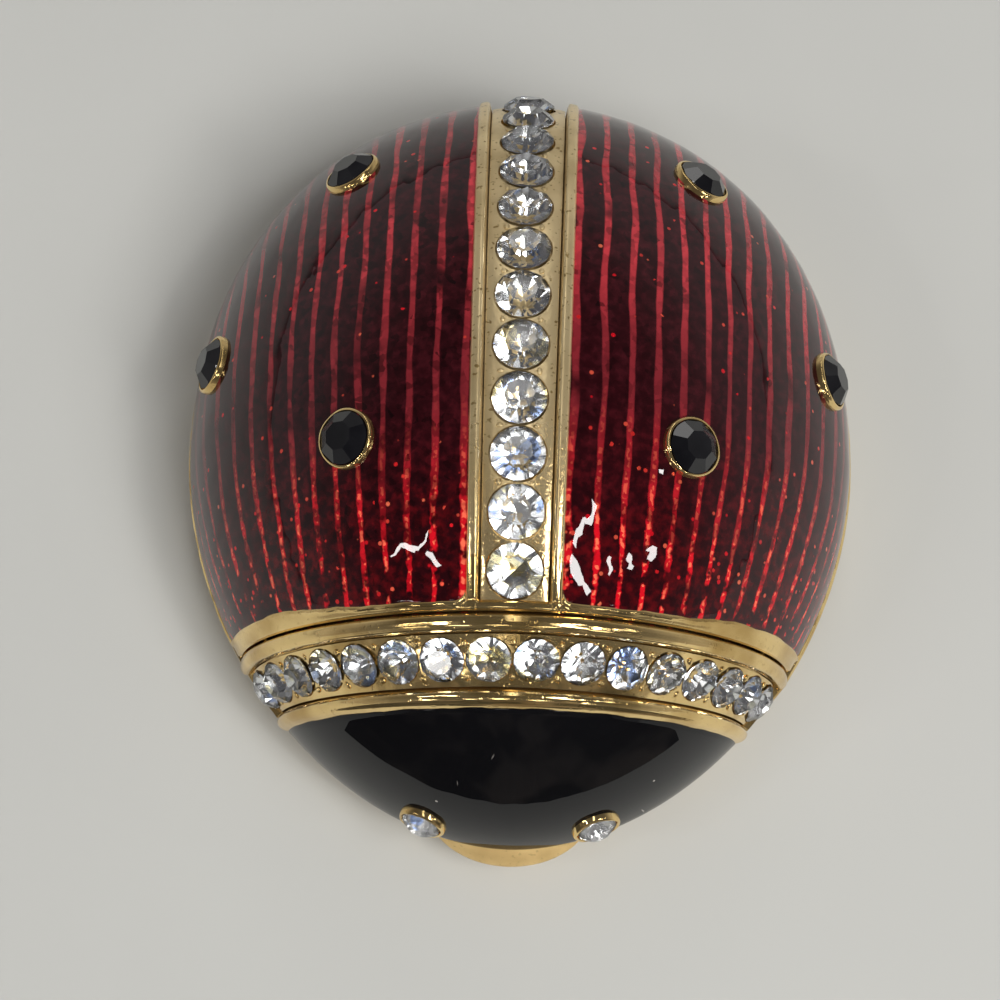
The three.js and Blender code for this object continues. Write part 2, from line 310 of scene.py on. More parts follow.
def note(piece: bpy.types.Object, name: str, values: np.ndarray) -> None:
    """Keeps one number for each point of a mesh under a name."""
    kept = piece.data.attributes.new(name, "FLOAT", "POINT")
    kept.data.foreach_set("value", values.astype(np.float32).ravel())


def noted(piece: bpy.types.Object, name: str) -> np.ndarray:
    """Reads the numbers that a mesh keeps under a name.

    Args:
        piece: The mesh object.
        name: The name they are kept under.

    Returns:
        One number for each point.
    """
    values = np.empty(len(piece.data.vertices), np.float32)
    piece.data.attributes[name].data.foreach_get("value", values)
    return values.astype(float)


def sheet_from(
    name: str,
    points: np.ndarray,
    lift: np.ndarray,
    pattern: np.ndarray | None = None,
    finish: int = 0,
) -> bpy.types.Object:
    """Draws a grid out over a surface.

    Args:
        name: Name of the piece.
        points: Rows of points on the surface, in mm.
        lift: How far each point will stand off the surface, in mm.
        pattern: Pattern coordinates of each point, or none.
        finish: Which material slot its faces take.

    Returns:
        The open sheet, with its lifts noted on it.
    """
    rows, columns = points.shape[:2]
    clear_choice()
    bpy.ops.mesh.primitive_grid_add(x_subdivisions=columns - 1, y_subdivisions=rows - 1, size=2.0)
    piece = bpy.context.object
    piece.name = name
    flat = read_points(piece)
    row = np.rint((flat[:, 1] + 1.0) / 2.0 * (rows - 1)).astype(int)
    column = np.rint((flat[:, 0] + 1.0) / 2.0 * (columns - 1)).astype(int)
    write_points(piece, points[row, column] * MM)
    note(piece, "lift", lift[row, column])
    if pattern is not None:
        corner = np.empty(len(piece.data.loops), int)
        piece.data.loops.foreach_get("vertex_index", corner)
        drawn = pattern[row, column][corner]
        piece.data.uv_layers.active.data.foreach_set("uv", drawn.astype(np.float32).ravel())
    piece.data.polygons.foreach_set("material_index", np.full(len(piece.data.polygons), finish))
    return piece


def join_sheets(sheets: list[bpy.types.Object], gap: float = 2e-6) -> bpy.types.Object:
    """Makes one open skin of sheets that share their edges.

    Args:
        sheets: The sheets.
        gap: Points closer than this become one, in metres.

    Returns:
        The joined skin, facing out.
    """
    choose(*sheets)
    if len(sheets) > 1:
        bpy.ops.object.join()
    skin = bpy.context.object
    bpy.ops.object.mode_set(mode="EDIT")
    bpy.ops.mesh.select_all(action="SELECT")
    bpy.ops.mesh.remove_doubles(threshold=gap)
    bpy.ops.mesh.normals_make_consistent(inside=False)
    bpy.ops.object.mode_set(mode="OBJECT")
    middle = np.empty(len(skin.data.polygons) * 3)
    facing = np.empty(len(skin.data.polygons) * 3)
    skin.data.polygons.foreach_get("center", middle)
    skin.data.polygons.foreach_get("normal", facing)
    out = EGG.normal(middle.reshape(-1, 3) / MM)
    if np.einsum("ij,ij->i", out, facing.reshape(-1, 3)).mean() < 0:
        bpy.ops.object.mode_set(mode="EDIT")
        bpy.ops.mesh.flip_normals()
        bpy.ops.object.mode_set(mode="OBJECT")
    return skin


def apply_modifier(piece: bpy.types.Object, kind: str, **settings: object) -> None:
    """Adds a modifier and applies it.

    Args:
        piece: The piece.
        kind: The modifier's type.
        **settings: Its settings.
    """
    choose(piece)
    made = piece.modifiers.new(kind.lower(), kind)
    for key, value in settings.items():
        setattr(made, key, value)
    bpy.ops.object.modifier_apply(modifier=made.name)


def thicken(skin: bpy.types.Object, wall: float, stand: float = 0.0) -> bpy.types.Object:
    """Gives an open skin its wall, then raises the outer side by its noted lifts.

    Args:
        skin: The open skin, facing out.
        wall: Thickness in mm.
        stand: How far the inner side follows the lifts, from nought to one.

    Returns:
        The same object, closed.
    """
    outer = len(skin.data.vertices)
    before = read_points(skin)
    apply_modifier(
        skin, "SOLIDIFY", thickness=wall * MM, offset=-1.0, use_even_offset=False, use_rim=True
    )
    points = read_points(skin)
    lift = noted(skin, "lift")
    if np.abs(points[:outer] - before).max() > 1e-6:
        raise RuntimeError(f"{skin.name}: the outer side moved")
    out = EGG.normal(points / MM)
    share = np.where(np.arange(len(points)) < outer, 1.0, stand)
    points += out * (lift * share * MM)[:, None]
    write_points(skin, points)
    skin.data.attributes.remove(skin.data.attributes["lift"])
    return skin


def smooth_shade(piece: bpy.types.Object, degrees: float) -> None:
    """Shades a piece smooth where its faces turn by less than an angle."""
    choose(piece)
    bpy.ops.object.shade_smooth_by_angle(angle=math.radians(degrees))


def place(piece: bpy.types.Object, matrix: Matrix) -> None:
    """Moves a mesh's own points, so that its object stays at the origin."""
    piece.data.transform(matrix)
    piece.data.update()


def copy_piece(piece: bpy.types.Object, name: str) -> bpy.types.Object:
    """Copies a piece with a mesh of its own.

    Args:
        piece: The piece to copy.
        name: Name of the copy.

    Returns:
        The copy.
    """
    choose(piece)
    bpy.ops.object.duplicate(linked=False)
    twin = bpy.context.object
    twin.name = name
    twin.data.name = name
    return twin


def lathe(name: str, profile: list[tuple[float, float]], steps: int) -> bpy.types.Object:
    """Turns a closed solid from a profile.

    Args:
        name: Name of the piece.
        profile: Radius and height of each point, in mm, from axis to axis.
        steps: How many steps round.

    Returns:
        The turned solid about +Z.
    """
    clear_choice()
    bpy.ops.mesh.primitive_plane_add(size=1.0)
    piece = bpy.context.object
    piece.name = name
    bpy.ops.object.mode_set(mode="EDIT")
    bpy.ops.mesh.select_all(action="SELECT")
    bpy.ops.mesh.merge(type="CENTER")
    bpy.ops.transform.translate(value=(profile[0][0] * MM, 0.0, profile[0][1] * MM))
    for (r0, z0), (r1, z1) in zip(profile, profile[1:]):
        bpy.ops.mesh.extrude_region_move(
            TRANSFORM_OT_translate={"value": ((r1 - r0) * MM, 0.0, (z1 - z0) * MM)}
        )
    bpy.ops.mesh.select_all(action="SELECT")
    bpy.ops.mesh.spin(
        steps=steps, angle=2.0 * math.pi, center=(0.0, 0.0, 0.0), axis=(0.0, 0.0, 1.0)
    )
    bpy.ops.mesh.select_all(action="SELECT")
    bpy.ops.mesh.remove_doubles(threshold=1e-6)
    bpy.ops.mesh.normals_make_consistent(inside=False)
    bpy.ops.object.mode_set(mode="OBJECT")
    return piece


def seat_matrix(point: np.ndarray, out: np.ndarray, spin: float = 0.0) -> Matrix:
    """The place of something that stands on the body.

    Args:
        point: Where it stands, in mm.
        out: Which way it faces.
        spin: Turn about its own axis, in radians.

    Returns:
        A matrix that takes +Z to the outward direction.
    """
    turn = Vector(out).to_track_quat("Z", "Y").to_matrix().to_4x4()
    return Matrix.Translation(Vector(point) * MM) @ turn @ Matrix.Rotation(spin, 4, "Z")


def dress(piece: bpy.types.Object, *finishes: bpy.types.Material) -> None:
    """Gives a piece its materials, and keeps the slot of each face.

    Args:
        piece: The piece.
        *finishes: Its materials, in the order of its slots.
    """
    kept = np.empty(len(piece.data.polygons), int)
    piece.data.polygons.foreach_get("material_index", kept)
    piece.data.materials.clear()
    for finish in finishes:
        piece.data.materials.append(finish)
    piece.data.polygons.foreach_set("material_index", kept)


def seat_in_frame(piece: bpy.types.Object, slot: str, *nodes: str) -> None:
    """Fixes a finished piece to the body.

    Args:
        piece: The piece.
        slot: Its material slot in the part's own list; not used.
        *nodes: The plain pieces that it takes the place of.
    """
    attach(piece, "root")
    if nodes:
        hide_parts(*nodes)
    log.info("%s: %d faces", piece.name, len(piece.data.polygons))


class Wiring:
    """A short hand for wiring shader nodes."""

    def __init__(self, tree: bpy.types.NodeTree) -> None:
        """Starts on an empty tree."""
        self.tree = tree
        tree.nodes.clear()

    def add(self, kind: str, **settings: object) -> bpy.types.Node:
        """Adds a node.

        Args:
            kind: The node's type.
            **settings: Its own properties.

        Returns:
            The new node.
        """
        node = self.tree.nodes.new(kind)
        for key, value in settings.items():
            setattr(node, key, value)
        return node

    def put(self, value: object, socket: bpy.types.NodeSocket) -> None:
        """Links a socket's value, or sets a plain one."""
        if isinstance(value, bpy.types.NodeSocket):
            self.tree.links.new(value, socket)
        else:
            socket.default_value = value

    def feed(self, node: bpy.types.Node, **inputs: object) -> bpy.types.Node:
        """Sets or links a node's inputs, with _ for a blank in their names.

        Args:
            node: The node.
            **inputs: A value or an output socket for each input.

        Returns:
            The same node.
        """
        for key, value in inputs.items():
            self.put(value, node.inputs[key.replace("_", " ")])
        return node

    def math(self, how: str, *values: object) -> bpy.types.NodeSocket:
        """One step of arithmetic.

        Args:
            how: The operation.
            *values: Its numbers or sockets, up to three.

        Returns:
            The answer's socket.
        """
        node = self.add("ShaderNodeMath", operation=how)
        for value, socket in zip(values, node.inputs):
            self.put(value, socket)
        return node.outputs[0]

    def times(self, first: object, *others: object) -> bpy.types.NodeSocket:
        """The product of several numbers or sockets."""
        for other in others:
            first = self.math("MULTIPLY", first, other)
        return first

    def vector(self, how: str, *values: object) -> bpy.types.NodeSocket:
        """One step of arithmetic with vectors.

        Args:
            how: The operation.
            *values: Its vectors or sockets, up to three.

        Returns:
            The answer's socket.
        """
        node = self.add("ShaderNodeVectorMath", operation=how)
        for value, socket in zip(values, node.inputs):
            self.put(value, socket)
        return node.outputs[0]

    def parts(self, value: bpy.types.NodeSocket, kind: str = "XYZ") -> list[bpy.types.NodeSocket]:
        """The three parts of a vector, or of a colour.

        Args:
            value: The vector or colour.
            kind: XYZ for a vector, Color for a colour.

        Returns:
            The sockets of its parts.
        """
        node = self.add(f"ShaderNodeSeparate{kind}")
        self.tree.links.new(value, node.inputs[0])
        return list(node.outputs)

    def place(self, kind: str = "Object") -> bpy.types.NodeSocket:
        """Coordinates of one kind."""
        return self.add("ShaderNodeTexCoord").outputs[kind]

    def cells(self, where: bpy.types.NodeSocket, scale: float) -> bpy.types.Node:
        """Scattered cells, each with a colour of its own."""
        node = self.add("ShaderNodeTexVoronoi", feature="F1")
        return self.feed(node, Vector=where, Scale=scale, Randomness=1.0)

    def ramp(self, value: bpy.types.NodeSocket, low: float, high: float) -> bpy.types.NodeSocket:
        """An even ramp of a value between two limits.

        Args:
            value: The value.
            low: Where the ramp gives nought.
            high: Where it gives one.

        Returns:
            The ramp's socket.
        """
        node = self.add("ShaderNodeMapRange", interpolation_type="SMOOTHSTEP")
        self.feed(node, Value=value, From_Min=low, From_Max=high)
        return node.outputs[0]

    def blend(self, share: object, a: object, b: object) -> bpy.types.NodeSocket:
        """Blends two colours.

        Args:
            share: How much of the second, a number or a socket.
            a: First colour or socket.
            b: Second colour or socket.

        Returns:
            The colour's socket.
        """
        node = self.add("ShaderNodeMix", data_type="RGBA")
        for index, value in ((0, share), (6, a), (7, b)):
            self.put(value, node.inputs[index])
        return node.outputs[2]

    def noise(self, where: bpy.types.NodeSocket, scale: object, detail: float = 2.0) -> bpy.types.NodeSocket:
        """Even noise.

        Args:
            where: Coordinates.
            scale: How fine it is, a number or a socket.
            detail: How many finer layers it has.

        Returns:
            The noise's value socket.
        """
        node = self.feed(self.add("ShaderNodeTexNoise"), Vector=where, Scale=scale, Detail=detail)
        return node.outputs[0]


def rgb(red: float, green: float, fire_blue: float) -> Colour:
    """A solid colour."""
    return (red, green, fire_blue, 1.0)


def new_material(name: str) -> tuple[bpy.types.Material, Wiring, bpy.types.Node]:
    """Starts a material.

    Args:
        name: Its name.

    Returns:
        The material, its wiring and its surface shader.
    """
    made = bpy.data.materials.new(name)
    made.use_nodes = True
    wiring = Wiring(made.node_tree)
    shader = wiring.add("ShaderNodeBsdfPrincipled")
    output = wiring.add("ShaderNodeOutputMaterial")
    made.node_tree.links.new(shader.outputs[0], output.inputs[0])
    return made, wiring, shader


def surface_group() -> bpy.types.NodeTree:
    """Builds the shared handling marks: fine pits, waves and smears.

    Returns:
        A group with scale inputs that gives a height, a smear mask and a pit mask.
    """
    group = bpy.data.node_groups.new("handling marks", "ShaderNodeTree")
    wiring = Wiring(group)
    for name, default in (("Wave Scale", 900.0), ("Pit Scale", 2600.0), ("Pit Depth", 0.4)):
        socket = group.interface.new_socket(name, in_out="INPUT", socket_type="NodeSocketFloat")
        socket.default_value = default
    for name in ("Height", "Smear", "Pits"):
        group.interface.new_socket(name, in_out="OUTPUT", socket_type="NodeSocketFloat")
    given = wiring.add("NodeGroupInput")
    where = wiring.place()
    wave = wiring.noise(where, given.outputs["Wave Scale"], 1.0)
    pits = wiring.noise(where, given.outputs["Pit Scale"], 1.0)
    pit_mask = wiring.ramp(pits, 0.62, 0.74)
    height = wiring.math("SUBTRACT", wave, wiring.times(pit_mask, given.outputs["Pit Depth"]))
    smear = wiring.ramp(wiring.noise(where, 260.0, 3.0), 0.35, 0.75)
    result = wiring.add("NodeGroupOutput")
    for socket, value in zip(result.inputs, (height, smear, pit_mask)):
        group.links.new(value, socket)
    return group


def marks(wiring: Wiring, group: bpy.types.NodeTree, wave: float, pit: float, depth: float) -> bpy.types.Node:
    """Places the shared handling marks in a material.

    Args:
        wiring: The material's wiring.
        group: The shared group.
        wave: Scale of the waves.
        pit: Scale of the pits.
        depth: Depth of the pits.

    Returns:
        The group's node.
    """
    node = wiring.add("ShaderNodeGroup", node_tree=group)
    return wiring.feed(node, Wave_Scale=wave, Pit_Scale=pit, Pit_Depth=depth)


class Lustre(Enum):
    """How the gilding is finished."""

    POLISHED = "polished"
    SATIN = "satin"
    UNDERSIDE = "underside"


@dataclass(frozen=True)
class Gilding:
    """Thin gold plate over the casting.

    Attributes:
        lustre: How it is finished.
        bright: Colour of clean gold.
        dull: Colour of handled gold.
        rough: Roughness where it is clean.
        bump: Strength of its fine relief.
        metal: How metallic it is.
        waves: Scale of its waves.
        pitted: How much of the pits' colour shows.
        pit: Colour in the pits.
        shine: Colour of satin gilding where hands have rubbed it bright.
    """

    lustre: Lustre
    bright: Colour = rgb(0.96, 0.71, 0.32)
    dull: Colour = rgb(0.56, 0.37, 0.13)
    rough: float = 0.08
    bump: float = 0.16
    metal: float = 0.96
    waves: float = 1300.0
    pitted: float = 0.25
    pit: Colour = rgb(0.30, 0.19, 0.06)
    shine: Colour = rgb(0.97, 0.73, 0.36)

    def make(self, group: bpy.types.NodeTree) -> bpy.types.Material:
        """Makes the material.

        Args:
            group: The shared handling marks.

        Returns:
            The gilding.
        """
        made, wiring, shader = new_material(f"gilding {self.lustre.value}")
        mark = marks(wiring, group, self.waves, 3200.0, 0.5)
        colour = wiring.blend(mark.outputs["Smear"], self.bright, self.dull)
        colour = wiring.blend(wiring.times(mark.outputs["Pits"], self.pitted), colour, self.pit)
        uneven = wiring.math("MULTIPLY_ADD", mark.outputs["Smear"], 0.10, self.rough)
        metal = self.metal
        if self.lustre is Lustre.SATIN:
            along = wiring.parts(wiring.place())[1]
            rubbed = wiring.ramp(along, -0.001, -0.012)
            uneven = wiring.math("SUBTRACT", uneven, wiring.times(rubbed, 0.16))
            colour = wiring.blend(wiring.times(rubbed, 0.7), colour, self.shine)
            metal = wiring.math("MULTIPLY_ADD", rubbed, 0.12, metal)
        relief = wiring.add("ShaderNodeBump")
        wiring.feed(relief, Height=mark.outputs["Height"], Strength=self.bump, Distance=0.00006)
        wiring.feed(shader, Base_Color=colour, Roughness=uneven, Metallic=metal, Normal=relief.outputs[0])
        return made


@dataclass(frozen=True)
class RedEnamel:
    """Clear red enamel over an engine-turned ground with glitter in it, with painted light in the front.

    Attributes:
        ground: Darkest colour between the lines.
        cloud: Lighter colour between the lines.
        lit_front_ground: The same in the front, painted lighter for the light that falls there.
        line: Colour of a line.
        dim: Colour of a fainter line.
        lit_front_line: Colour of a line in the front, painted lighter for the light that falls there.
        painted_glint: Colour of painted glints on the brightest grains of a line in the front.
        spark: Colour of the brightest flakes.
        phase: Where the first line lies.
    """

    ground: Colour = rgb(0.018, 0.0012, 0.0025)
    cloud: Colour = rgb(0.042, 0.004, 0.007)
    lit_front_ground: Colour = rgb(0.095, 0.002, 0.004)
    line: Colour = rgb(0.50, 0.036, 0.048)
    dim: Colour = rgb(0.17, 0.014, 0.020)
    lit_front_line: Colour = rgb(0.62, 0.005, 0.014)
    painted_glint: Colour = rgb(1.0, 0.17, 0.09)
    spark: Colour = rgb(1.0, 0.20, 0.10)
    phase: float = 0.2

    def make(self) -> bpy.types.Material:
        """Makes the material. Its pattern counts the lines across and mm along.

        Returns:
            The enamel.
        """
        made, wiring, shader = new_material("red enamel")
        where = wiring.place()
        count, along, _ = wiring.parts(wiring.place("UV"))
        cloudy = wiring.math("ADD", along, wiring.times(wiring.noise(where, 160.0), 9.0))
        # The front of the wings: the lines break up here, and the ground and lines are painted lighter, with
        # painted glints, for the light that falls there.
        front = wiring.ramp(cloudy, 29.0, 17.0)
        colour = self._lines(wiring, where, count, along, front)
        colour, shown, facing = self._flakes(wiring, where, front, colour)
        wiring.feed(
            shader,
            Base_Color=colour,
            Metallic=wiring.times(shown, 0.45),
            Roughness=0.38,
            Normal=facing,
            Coat_Weight=1.0,
            Coat_Roughness=0.015,
            Coat_IOR=1.44,
            Specular_IOR_Level=0.0,
        )
        return made

    def _lines(
        self,
        wiring: Wiring,
        where: bpy.types.NodeSocket,
        count: bpy.types.NodeSocket,
        along: bpy.types.NodeSocket,
        front: bpy.types.NodeSocket,
    ) -> bpy.types.NodeSocket:
        """Draws the uneven lines on the mottled ground.

        Args:
            wiring: The material's wiring.
            where: Object coordinates.
            count: Lines from the strip.
            along: Distance from the front of the body, in mm.
            front: Mask of the front, where the lines break up and where the ground and lines are painted
                lighter, with painted glints, for the light that falls there.

        Returns:
            The colour's socket.
        """
        drift = wiring.times(wiring.noise(where, 150.0, 1.0), 0.40)
        wavy = wiring.times(wiring.noise(where, 1700.0, 2.0), wiring.times(front, 0.20))
        shifted = wiring.math("ADD", wiring.math("ADD", count, drift), wavy)
        turned = wiring.math("ADD", shifted, self.phase)
        off = wiring.math("ABSOLUTE", wiring.math("SUBTRACT", wiring.math("FRACT", turned), 0.5))
        right = wiring.math("GREATER_THAN", wiring.parts(where)[0], 0.0)
        which = wiring.math("ADD", wiring.math("FLOOR", turned), wiring.times(right, 37.0))
        own = wiring.feed(wiring.add("ShaderNodeTexWhiteNoise", noise_dimensions="1D"), W=which)
        broad = wiring.math("ADD", wiring.times(wiring.noise(where, 330.0, 1.0), 0.15), 0.052)
        broad = wiring.math("SUBTRACT", broad, wiring.times(front, 0.012))
        stripe = wiring.ramp(wiring.math("SUBTRACT", broad, off), -0.030, 0.035)
        beads = wiring.ramp(wiring.noise(where, 1050.0, 2.0), 0.42, 0.55)
        gaps = wiring.times(front, wiring.math("SUBTRACT", 1.0, beads))
        patchy = wiring.ramp(wiring.noise(where, 300.0, 2.0), 0.22, 0.50)
        stripe = wiring.times(stripe, wiring.math("SUBTRACT", 1.0, gaps), patchy)
        mottle = wiring.ramp(wiring.noise(where, 1500.0, 3.0), 0.38, 0.78)
        # Painted light: the ground is lighter in the front.
        ground = wiring.blend(mottle, self.ground, wiring.blend(front, self.cloud, self.lit_front_ground))
        near = wiring.ramp(along, 38.0, 25.0)
        faint = wiring.math("MAXIMUM", near, wiring.times(own.outputs[0], 0.65))
        # Painted light: the lines are lighter in the front.
        line = wiring.blend(front, wiring.blend(faint, self.line, self.dim), self.lit_front_line)
        # Painted glints: bright grains in the cores of the lines in the front.
        core = wiring.ramp(wiring.math("SUBTRACT", 0.090, off), 0.0, 0.05)
        grain = wiring.ramp(wiring.noise(where, 2400.0, 1.0), 0.50, 0.57)
        glint_mask = wiring.times(core, stripe, front, grain)
        return wiring.blend(glint_mask, wiring.blend(stripe, ground, line), self.painted_glint)

    def _flakes(
        self,
        wiring: Wiring,
        where: bpy.types.NodeSocket,
        front: bpy.types.NodeSocket,
        colour: bpy.types.NodeSocket,
    ) -> tuple[bpy.types.NodeSocket, bpy.types.NodeSocket, bpy.types.NodeSocket]:
        """Scatters tilted flakes of glitter.

        Args:
            wiring: The material's wiring.
            where: Object coordinates.
            front: Mask of the front, where there are more of them.
            colour: The colour under them.

        Returns:
            The colour with the flakes, their mask, and the way each one faces.
        """
        cells = wiring.cells(where, 2300.0)
        pick, tone, _ = wiring.parts(cells.outputs["Color"], "Color")
        dot = wiring.ramp(cells.outputs["Distance"], 0.40, 0.22)
        few = wiring.math("SUBTRACT", 0.975, wiring.times(front, 0.085))
        shown = wiring.times(dot, wiring.math("GREATER_THAN", pick, few))
        hue = wiring.blend(wiring.math("POWER", tone, 3.0), self.lit_front_line, self.spark)
        tilt = wiring.vector("MULTIPLY_ADD", cells.outputs["Color"], (0.9, 0.9, 0.9), (-0.45, -0.45, -0.45))
        plain = wiring.add("ShaderNodeNewGeometry").outputs["Normal"]
        facing = wiring.vector("NORMALIZE", wiring.vector("ADD", plain, tilt))
        return wiring.blend(shown, colour, hue), shown, facing


@dataclass(frozen=True)
class BlackEnamel:
    """Glassy black enamel with a few specks and strands of lint.

    Attributes:
        body: Colour of the enamel.
        lint: Colour of the lint.
        stretch: How much shorter the pattern of the strands is along each axis.
    """

    body: Colour = rgb(0.0035, 0.0035, 0.0042)
    lint: Colour = rgb(0.30, 0.28, 0.26)
    stretch: tuple[float, float, float] = (1.0, 0.12, 0.12)

    def make(self, group: bpy.types.NodeTree) -> bpy.types.Material:
        """Makes the material.

        Args:
            group: The shared handling marks.

        Returns:
            The enamel.
        """
        made, wiring, shader = new_material("black enamel")
        mark = marks(wiring, group, 320.0, 1500.0, 0.0)
        where = wiring.place()
        speck = self._few(wiring, wiring.cells(where, 1100.0), (0.13, 0.07), 0.985)
        bend = wiring.feed(wiring.add("ShaderNodeTexNoise"), Vector=where, Scale=500.0, Detail=1.0)
        bent = wiring.vector("MULTIPLY_ADD", bend.outputs["Color"], (0.0018, 0.0018, 0.0018), where)
        drawn = wiring.vector("MULTIPLY", bent, self.stretch)
        strand = self._few(wiring, wiring.cells(drawn, 1300.0), (0.10, 0.05), 0.70)
        colour = wiring.blend(wiring.math("MAXIMUM", speck, strand), self.body, self.lint)
        relief = wiring.add("ShaderNodeBump")
        wiring.feed(relief, Height=mark.outputs["Height"], Strength=0.05, Distance=0.00005)
        wiring.feed(
            shader,
            Base_Color=colour,
            Roughness=0.35,
            Normal=relief.outputs[0],
            Coat_Weight=1.0,
            Coat_Roughness=0.012,
            Coat_IOR=1.37,
            Specular_IOR_Level=0.0,
        )
        return made

    def _few(
        self, wiring: Wiring, cells: bpy.types.Node, edge: tuple[float, float], rare: float
    ) -> bpy.types.NodeSocket:
        """Marks the middles of a few cells.

        Args:
            wiring: The material's wiring.
            cells: The cells.
            edge: Distances from a middle where its mark starts and is full.
            rare: Share of the cells that stay clean.

        Returns:
            The mask's socket.
        """
        pick = wiring.parts(cells.outputs["Color"], "Color")[0]
        chosen = wiring.math("GREATER_THAN", pick, rare)
        return wiring.times(wiring.ramp(cells.outputs["Distance"], *edge), chosen)


@dataclass(frozen=True)
class ClearGlass:
    """Cut clear glass.

    Attributes:
        refraction: Its index of refraction.
        clean: Its tint where it is clean.
        handled: Its tint where it has been handled.
    """

    refraction: float = 1.58
    clean: Colour = rgb(1.0, 1.0, 1.0)
    handled: Colour = rgb(0.93, 0.95, 0.97)

    def make(self, group: bpy.types.NodeTree) -> bpy.types.Material:
        """Makes the material.

        Args:
            group: The shared handling marks.

        Returns:
            The glass.
        """
        made, wiring, shader = new_material("clear cut glass")
        mark = marks(wiring, group, 2200.0, 4000.0, 0.2)
        tint = wiring.blend(mark.outputs["Smear"], self.clean, self.handled)
        wiring.feed(shader, Base_Color=tint, Roughness=0.0, Metallic=0.0, IOR=self.refraction)
        wiring.feed(shader, Transmission_Weight=1.0)
        return made


@dataclass(frozen=True)
class Foil:
    """The silvered back of a clear stone, with a little painted fire in it: bluish and yellowish patches in
    place of dispersed light.

    Attributes:
        silver: Its plain colour.
        fire_blue: The colour of its bluer places, painted fire.
        fire_yellow: The colour of its warmer places, painted fire.
        rough: Roughness where it is clean.
    """

    silver: Colour = rgb(0.93, 0.94, 0.95)
    fire_blue: Colour = rgb(0.52, 0.66, 1.0)
    fire_yellow: Colour = rgb(0.95, 0.88, 0.60)
    rough: float = 0.10

    def make(self, group: bpy.types.NodeTree) -> bpy.types.Material:
        """Makes the material.

        Args:
            group: The shared handling marks.

        Returns:
            The foil.
        """
        made, wiring, shader = new_material(f"silver foil {self.rough:.1f}")
        # Painted fire: bluish and yellowish patches stand in for the colours of dispersed light.
        fire = wiring.noise(wiring.place(), 620.0, 0.0)
        colour = wiring.blend(wiring.ramp(fire, 0.68, 0.72), self.silver, self.fire_blue)
        colour = wiring.blend(wiring.ramp(fire, 0.33, 0.29), colour, self.fire_yellow)
        mark = marks(wiring, group, 2600.0, 5200.0, 0.3)
        uneven = wiring.math("MULTIPLY_ADD", mark.outputs["Smear"], 0.10, self.rough)
        wiring.feed(shader, Base_Color=colour, Metallic=1.0, Roughness=uneven)
        return made


@dataclass(frozen=True)
class Jet:
    """Cut black glass.

    Attributes:
        body: Its colour.
        smeared: Its colour under a smear.
    """

    body: Colour = rgb(0.003, 0.003, 0.004)
    smeared: Colour = rgb(0.010, 0.010, 0.012)

    def make(self, group: bpy.types.NodeTree) -> bpy.types.Material:
        """Makes the material.

        Args:
            group: The shared handling marks.

        Returns:
            The black glass.
        """
        made, wiring, shader = new_material("black cut glass")
        mark = marks(wiring, group, 1800.0, 2500.0, 0.0)
        colour = wiring.blend(mark.outputs["Smear"], self.body, self.smeared)
        uneven = wiring.math("MULTIPLY_ADD", mark.outputs["Smear"], 0.06, 0.03)
        wiring.feed(shader, Base_Color=colour, Roughness=uneven, IOR=1.55)
        return made


@dataclass
class Finishes:
    """All the finishes of the box, each made once.

    Attributes:
        group: The handling marks that the finishes share.
    """

    group: bpy.types.NodeTree = field(default_factory=surface_group)

    def __post_init__(self) -> None:
        """Makes the materials."""
        self.gold = Gilding(Lustre.POLISHED).make(self.group)
        self.satin = Gilding(
            Lustre.SATIN,
            bright=rgb(0.86, 0.68, 0.38),
            dull=rgb(0.62, 0.47, 0.24),
            rough=0.30,
            bump=0.30,
            metal=0.76,
            waves=2400.0,
            pitted=0.9,
        ).make(self.group)
        self.under = Gilding(
            Lustre.UNDERSIDE,
            bright=rgb(0.92, 0.67, 0.30),
            dull=rgb(0.72, 0.50, 0.21),
            rough=0.50,
            bump=0.30,
            metal=0.65,
            waves=2400.0,
        ).make(self.group)
        self.red = RedEnamel().make()
        self.black = BlackEnamel().make(self.group)
        self.glass = ClearGlass().make(self.group)
        self.foil = Foil().make(self.group)
        self.frosted = Foil(rough=0.22).make(self.group)
        self.jet = Jet().make(self.group)


